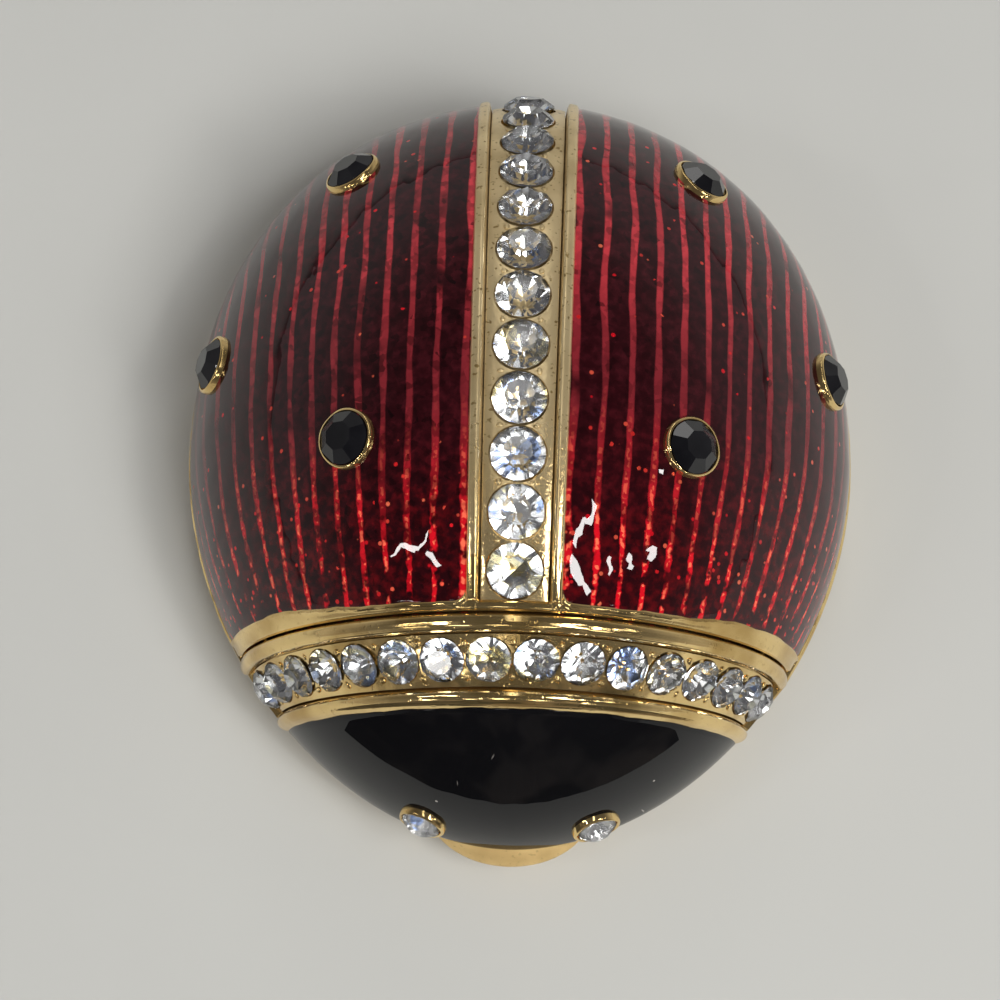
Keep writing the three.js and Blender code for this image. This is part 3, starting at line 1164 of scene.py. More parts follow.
@dataclass
class StoneCutter:
    """Cuts round stones with eight crown facets and a pointed back.

    Attributes:
        diameter: Width at the girdle, in mm.
        crown: Height over the girdle as a share of the diameter.
        table: Width of the flat top as a share of the diameter.
        back: Depth under the girdle as a share of the diameter.
        girdle: Thickness of the girdle as a share of the diameter.
    """

    diameter: float
    crown: float = 0.20
    table: float = 0.56
    back: float = 0.38
    girdle: float = 0.02

    def cut(self, name: str) -> bpy.types.Object:
        """Cuts one stone about +Z, its girdle at the origin.

        Args:
            name: Name of the stone.

        Returns:
            The stone, crown faces in slot 0 and back faces in slot 1.
        """
        radius, edge = self.diameter / 2.0, self.girdle * self.diameter / 2.0
        top = self.crown * self.diameter
        deep = self.back * self.diameter
        clear_choice()
        bpy.ops.mesh.primitive_cylinder_add(
            vertices=64,
            radius=radius * MM,
            depth=(top + deep) * MM,
            location=(0.0, 0.0, (top - deep) / 2.0 * MM),
        )
        stone = bpy.context.object
        stone.name = name
        choose(stone)
        bpy.ops.object.transform_apply(location=True, rotation=False, scale=False)
        inner = self.table * self.diameter / 2.0 * math.cos(math.pi / 8)
        bpy.ops.object.mode_set(mode="EDIT")
        for k in range(8):
            turn = 2.0 * math.pi * (k + 0.5) / 8
            self._slice(turn, (radius, edge), (inner, top))
        for k in range(16):
            turn = 2.0 * math.pi * (k + 0.25) / 16
            culet = (0.03 if k % 2 else 0.075) * radius
            self._slice(turn, (radius, -edge), (culet, -deep))
        bpy.ops.mesh.select_all(action="SELECT")
        bpy.ops.mesh.remove_doubles(threshold=1e-7)
        bpy.ops.mesh.normals_make_consistent(inside=False)
        bpy.ops.object.mode_set(mode="OBJECT")
        for face in stone.data.polygons:
            face.material_index = 1 if face.center.z < -edge * 0.5 * MM and face.normal.z < -0.1 else 0
            face.use_smooth = False
        return stone

    def _slice(self, turn: float, low: tuple[float, float], high: tuple[float, float]) -> None:
        """Cuts one flat facet through two places.

        Args:
            turn: The facet's direction round the stone, in radians.
            low: Radius and height of the facet's place on the girdle.
            high: Radius and height of its other end.
        """
        across, rise = high[0] - low[0], high[1] - low[1]
        normal = (abs(rise), -across * math.copysign(1.0, rise))
        length = math.hypot(*normal)
        away = Vector((math.cos(turn), math.sin(turn), 0.0)) * (normal[0] / length)
        away.z = normal[1] / length
        point = Vector((low[0] * math.cos(turn), low[0] * math.sin(turn), low[1])) * MM
        bpy.ops.mesh.select_all(action="SELECT")
        bpy.ops.mesh.bisect(
            plane_co=point, plane_no=away, clear_outer=True, use_fill=True, threshold=1e-7
        )


@dataclass
class Stones:
    """All the cut stones, each on its own seat.

    Attributes:
        strip_size: Diameter of the stones down the lid, in mm.
        band_size: Diameter of the stones over the head.
        spot_size: Diameter of the black spots.
        eye_size: Diameter of the eyes.
        strip_count: How many stones go down the lid.
        band_count: How many go over the head.
        strip_first: Distance of the lid's first stone from the seam.
        strip_pitch: Distance from each stone of the lid to the next.
        sink: Height of a channel stone's girdle over the skin.
        stand: Height of a cup stone's girdle over the skin.
        eye_place: Place of an eye across and over the seam.
        spot_places: Name, place along the body and angle round it of each pair of spots.
    """

    strip_size: float = 3.4
    band_size: float = 2.78
    spot_size: float = 3.35
    eye_size: float = 2.5
    strip_count: int = 13
    band_count: int = 16
    strip_first: float = 2.6
    strip_pitch: float = 3.6
    sink: float = -0.25
    stand: float = 0.30
    eye_place: tuple[float, float] = (5.5, 2.0)
    spot_places: tuple[tuple[str, float, float], ...] = (
        ("front", -4.3, 58.7),
        ("side", 4.4, 22.5),
        ("rear", 16.5, 48.7),
    )

    def strip_seats(self) -> list[Seat]:
        """Seats down the crown of the lid.

        Returns:
            Point and outward direction of each.
        """
        line = crown_line()
        seats = []
        for k in range(self.strip_count):
            at = self.strip_first + k * self.strip_pitch
            point, ahead = along_curve(line, np.array([at, at + 0.05]))
            ahead = ahead - point
            out = np.array([0.0, -ahead[2], ahead[1]]) / np.hypot(ahead[1], ahead[2])
            seats.append((point + out * self.sink, out))
        return seats

    def band_seats(self) -> list[Seat]:
        """Seats over the head from side to side.

        Returns:
            Point and outward direction of each.
        """
        arch = EGG.row(
            (SEAM.y + HEAD.y) / 2.0,
            (SEAM.lean + HEAD.lean) / 2.0,
            np.linspace(0.0, math.pi, 1601),
        )
        arch = arch[arch[:, 2] >= EGG.seam_height + 1.5]
        steps = np.linalg.norm(np.diff(arch, axis=0), axis=1)
        points = along_curve(arch, np.linspace(0.0, steps.sum(), self.band_count))
        return [(p + n * self.sink, n) for p, n in zip(points, EGG.normal(points))]

    def spot_seats(self) -> dict[str, Seat]:
        """Seats of the black spots.

        Returns:
            Point and outward direction under each name.
        """
        seats = {}
        for name, y, degrees in self.spot_places:
            for side, angle in (("left", 180.0 - degrees), ("right", degrees)):
                point = EGG.row(y, 0.0, np.array([math.radians(angle)]))[0]
                out = EGG.normal(point)
                seats[f"spot_{name}_{side}"] = (point + out * self.stand, out)
        return seats

    def eye_seats(self) -> dict[str, Seat]:
        """Seats of the two eyes.

        Returns:
            Point and outward direction under each name.
        """
        seats = {}
        for side, x in (("left", -self.eye_place[0]), ("right", self.eye_place[0])):
            start = np.array([x, -EGG.front_reach, EGG.seam_height + self.eye_place[1]])
            point = EGG.descend(start, np.array([0.0, 1.0, 0.0]))
            out = EGG.normal(point)
            seats[f"eye_{side}"] = (point + out * self.stand, out)
        return seats

    def _set(
        self,
        master: bpy.types.Object,
        name: str,
        seat: Seat,
        chance: np.random.Generator,
        looseness: float,
    ) -> bpy.types.Object:
        """Sets one copy of a stone on its seat, as unevenly as by hand.

        Args:
            master: The cut stone.
            name: Name of the copy.
            seat: Point and outward direction.
            chance: Source of the unevenness.
            looseness: Greatest tilt in radians.

        Returns:
            The copy in its place.
        """
        stone = copy_piece(master, name + "_cut")
        lean = Matrix.Rotation(chance.uniform(-looseness, looseness), 4, "X")
        tip = Matrix.Rotation(chance.uniform(-looseness, looseness), 4, "Y")
        spin = chance.uniform(0.0, 2.0 * math.pi)
        place(stone, seat_matrix(seat[0], seat[1], spin) @ lean @ tip)
        return stone

    def build(self, finishes: Finishes) -> None:
        """Cuts, sets and dresses all the stones.

        Args:
            finishes: The finishes.
        """
        chance = np.random.default_rng(11)
        clear = (finishes.glass, finishes.foil)
        black = (finishes.jet, finishes.jet)
        frosted = (finishes.glass, finishes.frosted)
        strip = {f"strip_stone_{k + 1:02d}": s for k, s in enumerate(self.strip_seats())}
        band = {f"band_stone_{k + 1:02d}": s for k, s in enumerate(self.band_seats())}
        for cutter, seats, dressed, slot, loose in (
            (StoneCutter(self.strip_size), strip, clear, "clear_stone", 0.045),
            (StoneCutter(self.band_size), band, clear, "clear_stone", 0.07),
            (StoneCutter(self.spot_size), self.spot_seats(), black, "black_stone", 0.02),
            (StoneCutter(self.eye_size), self.eye_seats(), frosted, "clear_stone", 0.03),
        ):
            master = cutter.cut("master_stone")
            dress(master, *dressed)
            for name, seat in seats.items():
                stone = self._set(master, name, seat, chance, loose)
                seat_in_frame(stone, slot, name)
            bpy.data.objects.remove(master)


@dataclass
class Cup:
    """A turned gold cup with an uneven rim, which holds one raised stone.

    Attributes:
        radius: Radius of its stone, in mm.
        wall: Thickness of the rim.
        foot: How deep it is set.
    """

    radius: float
    wall: float = 0.18
    foot: float = 1.5

    def build(self, name: str, seat: Seat, seed: float) -> bpy.types.Object:
        """Turns one cup and sets it on its seat.

        Args:
            name: Name of the cup.
            seat: Point and outward direction.
            seed: Which uneven rim it has.

        Returns:
            The cup in its place.
        """
        inner, outer = self.radius + 0.06, self.radius + self.wall + 0.06
        profile = [
            (0.0, -self.foot),
            (outer + 0.12, -self.foot),
            (outer + 0.10, -0.55),
            (outer + 0.02, -0.25),
            (outer, -0.06),
            (outer - 0.06, 0.03),
            (outer - 0.16, 0.055),
            (inner + 0.05, 0.03),
            (inner, -0.05),
            (inner - 0.02, -0.45),
            (0.0, -1.34),
        ]
        piece = lathe(name, profile, 56)
        points = read_points(piece) / MM
        turn = np.arctan2(points[:, 1], points[:, 0])
        reach = np.hypot(points[:, 0], points[:, 1])
        rim = smooth((reach - inner + 0.1) / 0.2) * smooth((points[:, 2] + 0.6) / 0.4)
        grown = 1.0 + rim * 0.045 * wobble(turn, seed, 2.0 * math.pi)
        points[:, :2] *= grown[:, None]
        points[:, 2] += rim * 0.05 * wobble(turn, seed + 4.0, math.pi)
        write_points(piece, points * MM)
        place(piece, seat_matrix(*seat))
        smooth_shade(piece, 50.0)
        return piece


def prongs(name: str, seats: list[Seat], reach: float, radius: float) -> bpy.types.Object:
    """Raises small rounded prongs between neighbouring stones.

    Args:
        name: Name of the piece.
        seats: Point and outward direction of each stone, in order.
        reach: How far each prong is from the middle of the row, in mm.
        radius: Size of a prong in mm.

    Returns:
        All the prongs as one piece.
    """
    chance = np.random.default_rng(5)
    clear_choice()
    bpy.ops.mesh.primitive_uv_sphere_add(segments=14, ring_count=8, radius=radius * MM)
    master = bpy.context.object
    master.name = name
    master.data.polygons.foreach_set("use_smooth", np.full(len(master.data.polygons), True))
    made = []
    for (a, up_a), (b, up_b) in zip(seats, seats[1:]):
        up = (up_a + up_b) / 2.0
        up /= np.linalg.norm(up)
        side = np.cross(up, b - a)
        side /= np.linalg.norm(side)
        for way in (-1.0, 1.0):
            twin = copy_piece(master, name)
            away = reach + chance.uniform(-0.06, 0.06)
            point = (a + b) / 2.0 + side * way * away + up * chance.uniform(-0.10, -0.02)
            wide, long = chance.uniform(0.8, 1.25), chance.uniform(0.8, 1.25)
            squash = Matrix.Diagonal((wide, long, 0.7, 1.0))
            place(twin, seat_matrix(point, up) @ squash)
            made.append(twin)
    bpy.data.objects.remove(master)
    choose(*made)
    bpy.ops.object.join()
    return bpy.context.object


def hollow_under(
    points: np.ndarray, lift: np.ndarray, seats: list[Seat], cutter: StoneCutter, sink: float
) -> np.ndarray:
    """Deepens a channel under each stone, so that no stone's tip meets its floor.

    Args:
        points: The channel's points.
        lift: Its relief.
        seats: Point and outward direction of each stone.
        cutter: The cut of the stones.
        sink: How far the girdles are from the body's surface, in mm.

    Returns:
        The deepened relief.
    """
    radius = cutter.diameter / 2.0
    spare, deepest = 0.10, -1.62
    for point, out in seats:
        reach = np.linalg.norm(points - (point - out * sink), axis=-1)
        cone = sink - spare - cutter.back * cutter.diameter * (1.0 - reach / radius)
        lift = np.where(reach < radius, np.minimum(lift, np.maximum(cone, deepest)), lift)
    return lift


def drill(bed: bpy.types.Object, seats: list[Seat], radius: float) -> None:
    """Drills a hole for each stone through a bed.

    Args:
        bed: The bed.
        seats: Point and outward direction of each stone.
        radius: Radius of the holes, in mm.
    """
    drills = []
    for point, out in seats:
        clear_choice()
        bpy.ops.mesh.primitive_cylinder_add(vertices=40, radius=radius * MM, depth=3.0 * MM)
        tool = bpy.context.object
        place(tool, seat_matrix(point, out))
        drills.append(tool)
    choose(*drills)
    bpy.ops.object.join()
    tools = bpy.context.object
    apply_modifier(
        bed, "BOOLEAN", object=tools, operation="DIFFERENCE", solver="EXACT", use_self=True
    )
    bpy.data.objects.remove(tools)


@dataclass
class Lid:
    """The hollow wing dome with its strip, borders, beds and cups.

    Attributes:
        wall: Thickness of the casting, in mm.
        strip_half: Half width over both ridges at the seam.
        splay: How much the strip widens for each mm back.
        ridge: Width of one ridge.
        border: Width of the gold border at the seam.
        bottom: Height of the lid's lower edge.
        bed_depth: How deep the bed lies.
        trench: How deep the casting lies under the bed.
        corner: Radius of the enamel's inner corner at the seam.
        satin_from: Where along the body the satin ridges start.
        upright_by: Distance behind the seam where the rows stand upright.
        line_pitch: Distance between the enamel's lines at the middle of the body.
        closing: How much closer the lines come for each mm across.
        skirt: Height over the seam under which they are counted down the side too.
        side_pitch: Distance between the lines down the side, at the seam.
    """

    wall: float = 1.7
    strip_half: float = 2.95
    splay: float = 0.010
    ridge: float = 0.74
    border: float = 0.62
    bottom: float = 4.65
    bed_depth: float = 0.30
    trench: float = 0.95
    corner: float = 0.8
    satin_from: float = -12.0
    upright_by: float = 14.0
    line_pitch: float = 1.95
    closing: float = 0.040
    skirt: float = 7.5
    side_pitch: float = 1.2

    def rows(self) -> tuple[np.ndarray, np.ndarray]:
        """Crown points of the rows and the direction in which each row falls.

        Returns:
            Points and unit directions, from the seam back.
        """
        line = crown_line()
        line = line[line[:, 2] >= self.bottom]
        line = np.vstack([line, [0.0, line[-1, 1], self.bottom]])
        length = np.linalg.norm(np.diff(line, axis=0), axis=1).sum()
        tail = length - 6.0
        at = spread((SEAM_GAP, 2.2, 23), (2.2, 9.0, 34), (9.0, tail, 82), (tail, length, 25))
        points = along_curve(line, at)
        ahead = np.gradient(points, axis=0)
        out = np.stack([np.zeros(len(at)), -ahead[:, 2], ahead[:, 1]], -1)
        out /= np.linalg.norm(out, axis=1, keepdims=True)
        plane = np.array([0.0, SEAM.lean, 1.0]) / math.hypot(1.0, SEAM.lean)
        share = smooth((at - SEAM_GAP) / 9.0)[:, None]
        fall = out * share + plane * (1.0 - share)
        fall /= np.linalg.norm(fall, axis=1, keepdims=True)
        points[-1, 2] = self.bottom
        fall[-1] = (0.0, 1.0, 0.0)
        return points, fall

    def half(self, y: np.ndarray) -> np.ndarray:
        """Half width of the strip at each place along the body."""
        return self.strip_half + self.splay * (np.asarray(y) - SEAM.y)

    def strip_grid(self) -> tuple[np.ndarray, np.ndarray, np.ndarray]:
        """Draws the middle of the lid, out to the feet of its ridges.

        Returns:
            Points, places across from the ridge's foot, and distances from the seam.
        """
        crown, fall = self.rows()
        half = self.half(crown[:, 1])
        foot = spread((0.0, 0.16, 4), (0.16, 0.6, 6), (0.6, 0.86, 6), (0.86, 1.1, 2))
        places = []
        for wide in half:
            side = wide - foot
            floor = np.linspace(0.0, side.min(), 5)[:-1]
            right = np.concatenate([floor, side[::-1]])
            places.append(np.concatenate([-right[:0:-1], right]))
        x = np.array(places)
        start = np.repeat(crown[:, None, :], x.shape[1], axis=1).copy()
        start[..., 0] = x
        down = np.repeat(-fall[:, None, :], x.shape[1], axis=1)
        points = EGG.descend(start, down)
        from_foot = half[:, None] - np.abs(x)
        steps = np.linalg.norm(np.diff(points, axis=0), axis=-1)
        from_seam = np.vstack([np.zeros((1, x.shape[1])), np.cumsum(steps, axis=0)])
        return points, from_foot, from_seam

    def wing_grid(self, edge: np.ndarray) -> tuple[np.ndarray, dict[str, np.ndarray]]:
        """Draws one wing from the foot of the ridge to the bottom of the lid.

        Args:
            edge: The foot of the ridge, one point for each row.

        Returns:
            Points, and the distances of each from the strip, bottom and seam.
        """
        n = EGG.section_power
        inner = spread((0.0, 0.56, 8), (0.56, 1.3, 6))
        outer = spread((0.0, 2.0, 16), (2.0, 3.2, 6))
        middle = np.linspace(0.0, 1.0, 76)[1:-1]
        reach = (edge[:, 1] - edge[0, 1]) / self.upright_by
        leans = SEAM.lean * (1.0 - smooth(reach))
        leans[0] = SEAM.lean
        rows, near, far = [], [], []
        for point, lean in zip(edge, leans):
            base = point[1] - lean * (point[2] - EGG.seam_height)
            low = base + lean * (self.bottom - EGG.seam_height)
            first = math.acos(min(1.0, point[0] / EGG.width(point[1])) ** (n / 2.0))
            share = (self.bottom - EGG.seam_height) / EGG.height(np.array([low]))[0]
            last = min(math.asin(min(1.0, share) ** (n / 2.0)), first)
            fine = EGG.row(base, lean, np.linspace(first, last, 260))
            length = np.linalg.norm(np.diff(fine, axis=0), axis=1).sum()
            scale = min(1.0, length / 6.0)
            a, b = inner * scale, length - outer[::-1] * scale
            at = np.concatenate([a, a[-1] + (b[0] - a[-1]) * middle, b])
            rows.append(along_curve(fine, at))
            near.append(at)
            far.append(length - at)
        points = np.array(rows)
        points[:, 0] = edge
        steps = np.linalg.norm(np.diff(points, axis=0), axis=-1)
        seam = np.vstack([np.zeros((1, points.shape[1])), np.cumsum(steps, axis=0)])
        return points, {"strip": np.array(near), "bottom": np.array(far), "seam": seam}

    def inside(self, reach: dict[str, np.ndarray], points: np.ndarray, seed: float) -> np.ndarray:
        """Distance of each point inside the enamel's outline.

        Args:
            reach: Distances from the strip, bottom and seam.
            points: The points.
            seed: Which uneven outline it is.

        Returns:
            Positive inside the enamel and negative on the gold, in mm.
        """
        x, y = points[..., 0], points[..., 1]
        wide = np.clip(np.abs(x) / 14.0, 0.0, 1.0)
        seam = reach["seam"] - self.border - 0.60 * wide**5 - (0.03 + 0.05 * wide) * wobble(x, seed, 4.1)
        strip = reach["strip"] + 0.02 - 0.03 * wobble(y, seed + 2.0, 4.3)
        low = reach["bottom"] - 0.42 - 0.06 * wobble(y, seed + 5.0, 3.7)
        both = np.minimum(strip, seam)
        r = self.corner
        rounded = r - np.hypot(np.clip(r - strip, 0.0, None), np.clip(r - seam, 0.0, None))
        cut = np.where((strip < r) & (seam < r), rounded, both)
        return np.minimum(cut, low)

    def gold_lift(self, depth: np.ndarray, seam: np.ndarray, bottom: np.ndarray) -> np.ndarray:
        """Relief of the gold round an enamel field.

        Args:
            depth: Distance inside the enamel's outline.
            seam: Distance from the seam.
            bottom: Distance from the lid's lower edge.

        Returns:
            The lift of each point.
        """
        lip = 0.10 * np.exp(-(((depth + 0.13) / 0.11) ** 2))
        well = -0.40 * smooth(depth / 0.28)
        edge = np.minimum(seam, bottom)
        round_over = -0.16 * (1.0 - smooth(edge / 0.22))
        return lip + well + round_over

    def ridge_profile(self) -> np.ndarray:
        """Relief across one ridge.

        Returns:
            Pairs of the distance in from the ridge's foot and its lift.
        """
        ridge, floor = self.ridge, -self.trench
        return np.array(
            [
                (-1.0, -0.02),
                (0.0, 0.0),
                (0.06, 0.11),
                (0.13, 0.18),
                (0.24, 0.21),
                (0.5, 0.23),
                (ridge - 0.12, 0.20),
                (ridge - 0.04, 0.10),
                (ridge, -0.20),
                (ridge + 0.05, floor),
                (9.0, floor),
            ]
        )

    def strip_lift(self, foot: np.ndarray, seam: np.ndarray) -> np.ndarray:
        """Relief of the strip, with its ridges run out at both ends.

        Args:
            foot: Distance in from the ridge's foot.
            seam: Distance from the seam.

        Returns:
            The lift of each point.
        """
        border = smooth((seam - self.border + 0.05) / 0.18)
        end = smooth((seam.max() - seam - 0.45) / 0.25)
        kept = np.where(foot > self.ridge - 0.1, border * end, np.maximum(border, 0.25))
        lift = np.interp(foot, *self.ridge_profile().T) * kept
        return lift - 0.16 * (1.0 - smooth(seam / 0.22))

    def build(self, finishes: Finishes, stones: Stones) -> None:
        """Builds and dresses the lid with its beds and cups.

        Args:
            finishes: The finishes.
            stones: The stones, for their seats.
        """
        points, foot, seam = self.strip_grid()
        cutter = StoneCutter(stones.strip_size)
        lift = hollow_under(points, self.strip_lift(foot, seam), stones.strip_seats(), cutter, stones.sink)
        sheets = [sheet_from("lid_middle", points, lift)]
        wing, reach = self.wing_grid(points[:, -1])
        for side, name in ((1.0, "right"), (-1.0, "left")):
            turned = wing * np.array([side, 1.0, 1.0])
            depth = self.inside(reach, turned, 1.0 if side > 0 else 6.0)
            relief = self.gold_lift(depth, reach["seam"], reach["bottom"])
            sheets.append(sheet_from(f"lid_{name}", turned, relief))
            self._enamel(turned, depth, side, name, finishes)
        body = join_sheets(sheets)
        body.name = "lid_casting"
        thicken(body, self.wall)
        smooth_shade(body, 40.0)
        for face in body.data.polygons:
            x, y = abs(face.center.x) / MM, face.center.y / MM
            face.material_index = int(x < self.half(y) and y > self.satin_from)
        beads = prongs("strip_prongs", stones.strip_seats(), 1.15, 0.20)
        beads.data.polygons.foreach_set("material_index", np.ones(len(beads.data.polygons), dtype=int))
        extras = [self._bed(stones), beads]
        for k, (name, seat) in enumerate(stones.spot_seats().items()):
            extras.append(Cup(stones.spot_size / 2.0).build(f"cup_{name}", seat, 1.7 * k))
        dress(body, finishes.gold, finishes.satin)
        for extra in extras:
            dress(extra, finishes.gold, finishes.satin)
        choose(body, *extras)
        bpy.ops.object.join()
        seat_in_frame(body, "gilt_metal", "lid")

    def _bed(self, stones: Stones) -> bpy.types.Object:
        """Builds the drilled bed under the stones of the strip.

        Args:
            stones: The stones, for their seats.

        Returns:
            The bed.
        """
        crown, fall = self.rows()
        seam = np.concatenate([[0.0], np.cumsum(np.linalg.norm(np.diff(crown, axis=0), axis=1))])
        keep = (seam > self.border - 0.12) & (seam < seam[-1] - 0.42)
        crown, fall = crown[keep], fall[keep]
        half = self.half(crown[:, 1]) - self.ridge - 0.10
        x = half[:, None] * np.linspace(-1.0, 1.0, 15)[None, :]
        start = np.repeat(crown[:, None, :], 15, axis=1).copy()
        start[..., 0] = x
        points = EGG.descend(start, np.repeat(-fall[:, None, :], 15, axis=1))
        lift = np.full(x.shape, -self.bed_depth)
        lift += 0.015 * wobble(points[..., 1] + 2.0 * x, 3.0, 5.0)
        lift[:, [0, -1]] -= 0.05
        bed = join_sheets([sheet_from("strip_bed", points, lift, finish=1)])
        thicken(bed, 0.75, stand=1.0)
        drill(bed, stones.strip_seats(), stones.strip_size / 2.0 + 0.11)
        smooth_shade(bed, 32.0)
        return bed

    def line_pattern(self, wing: np.ndarray) -> np.ndarray:
        """Counts the enamel's lines across a wing.

        Args:
            wing: The wing's points.

        Returns:
            The count of lines and the mm from the front, for each point.
        """
        x, y = np.abs(wing[..., 0]), wing[..., 1]
        full = EGG.half_width
        narrow = 1.0 - EGG.width(y) / full
        share = np.clip(x / full, 0.0, 1.0)
        turning = 2.0 * share / (1.0 + np.sqrt(np.maximum(1.0 - 4.0 * narrow * share, 0.0)))
        across = np.minimum(np.where(y < EGG.widest, turning, share) * full, 30.0)
        count = -np.log(self.line_pitch - self.closing * across) / self.closing
        low = np.clip(self.skirt - (wing[..., 2] - EGG.seam_height), 0.0, None)
        count = count + low**2 / (2.0 * self.skirt * self.side_pitch)
        return np.stack([count, y + EGG.front_reach], -1)

    def _enamel(
        self,
        wing: np.ndarray,
        depth: np.ndarray,
        side: float,
        name: str,
        finishes: Finishes,
    ) -> None:
        """Fills one wing with enamel.

        Args:
            wing: The wing's points.
            depth: Distance inside the enamel's outline.
            side: Plus or minus one.
            name: Which wing.
            finishes: The finishes.
        """
        x, y = np.abs(wing[..., 0]), wing[..., 1]
        swell = 0.035 * smooth(depth / 0.35) - 0.55 * smooth(-depth / 0.22) - 0.02
        calm = smooth(depth / 1.5)
        ripple = 0.009 * wobble(x + 0.35 * y + side, 2.0, 3.3) + 0.008 * wobble(y - 0.3 * x, 5.0 + side, 4.1)
        fine = 0.0026 * wobble(x + 0.3 * y, 3.0 + side, 1.25) + 0.0022 * wobble(y - 0.5 * x, 7.0, 1.05)
        lift = swell + calm * (ripple + fine * smooth((-2.0 - y) / 5.0))
        fill = join_sheets([sheet_from(f"wing_{name}_fill", wing, lift, self.line_pattern(wing))])
        thicken(fill, 0.35, stand=1.0)
        smooth_shade(fill, 60.0)
        dress(fill, finishes.red)
        seat_in_frame(fill, "red_enamel", f"wing_enamel_{name}")


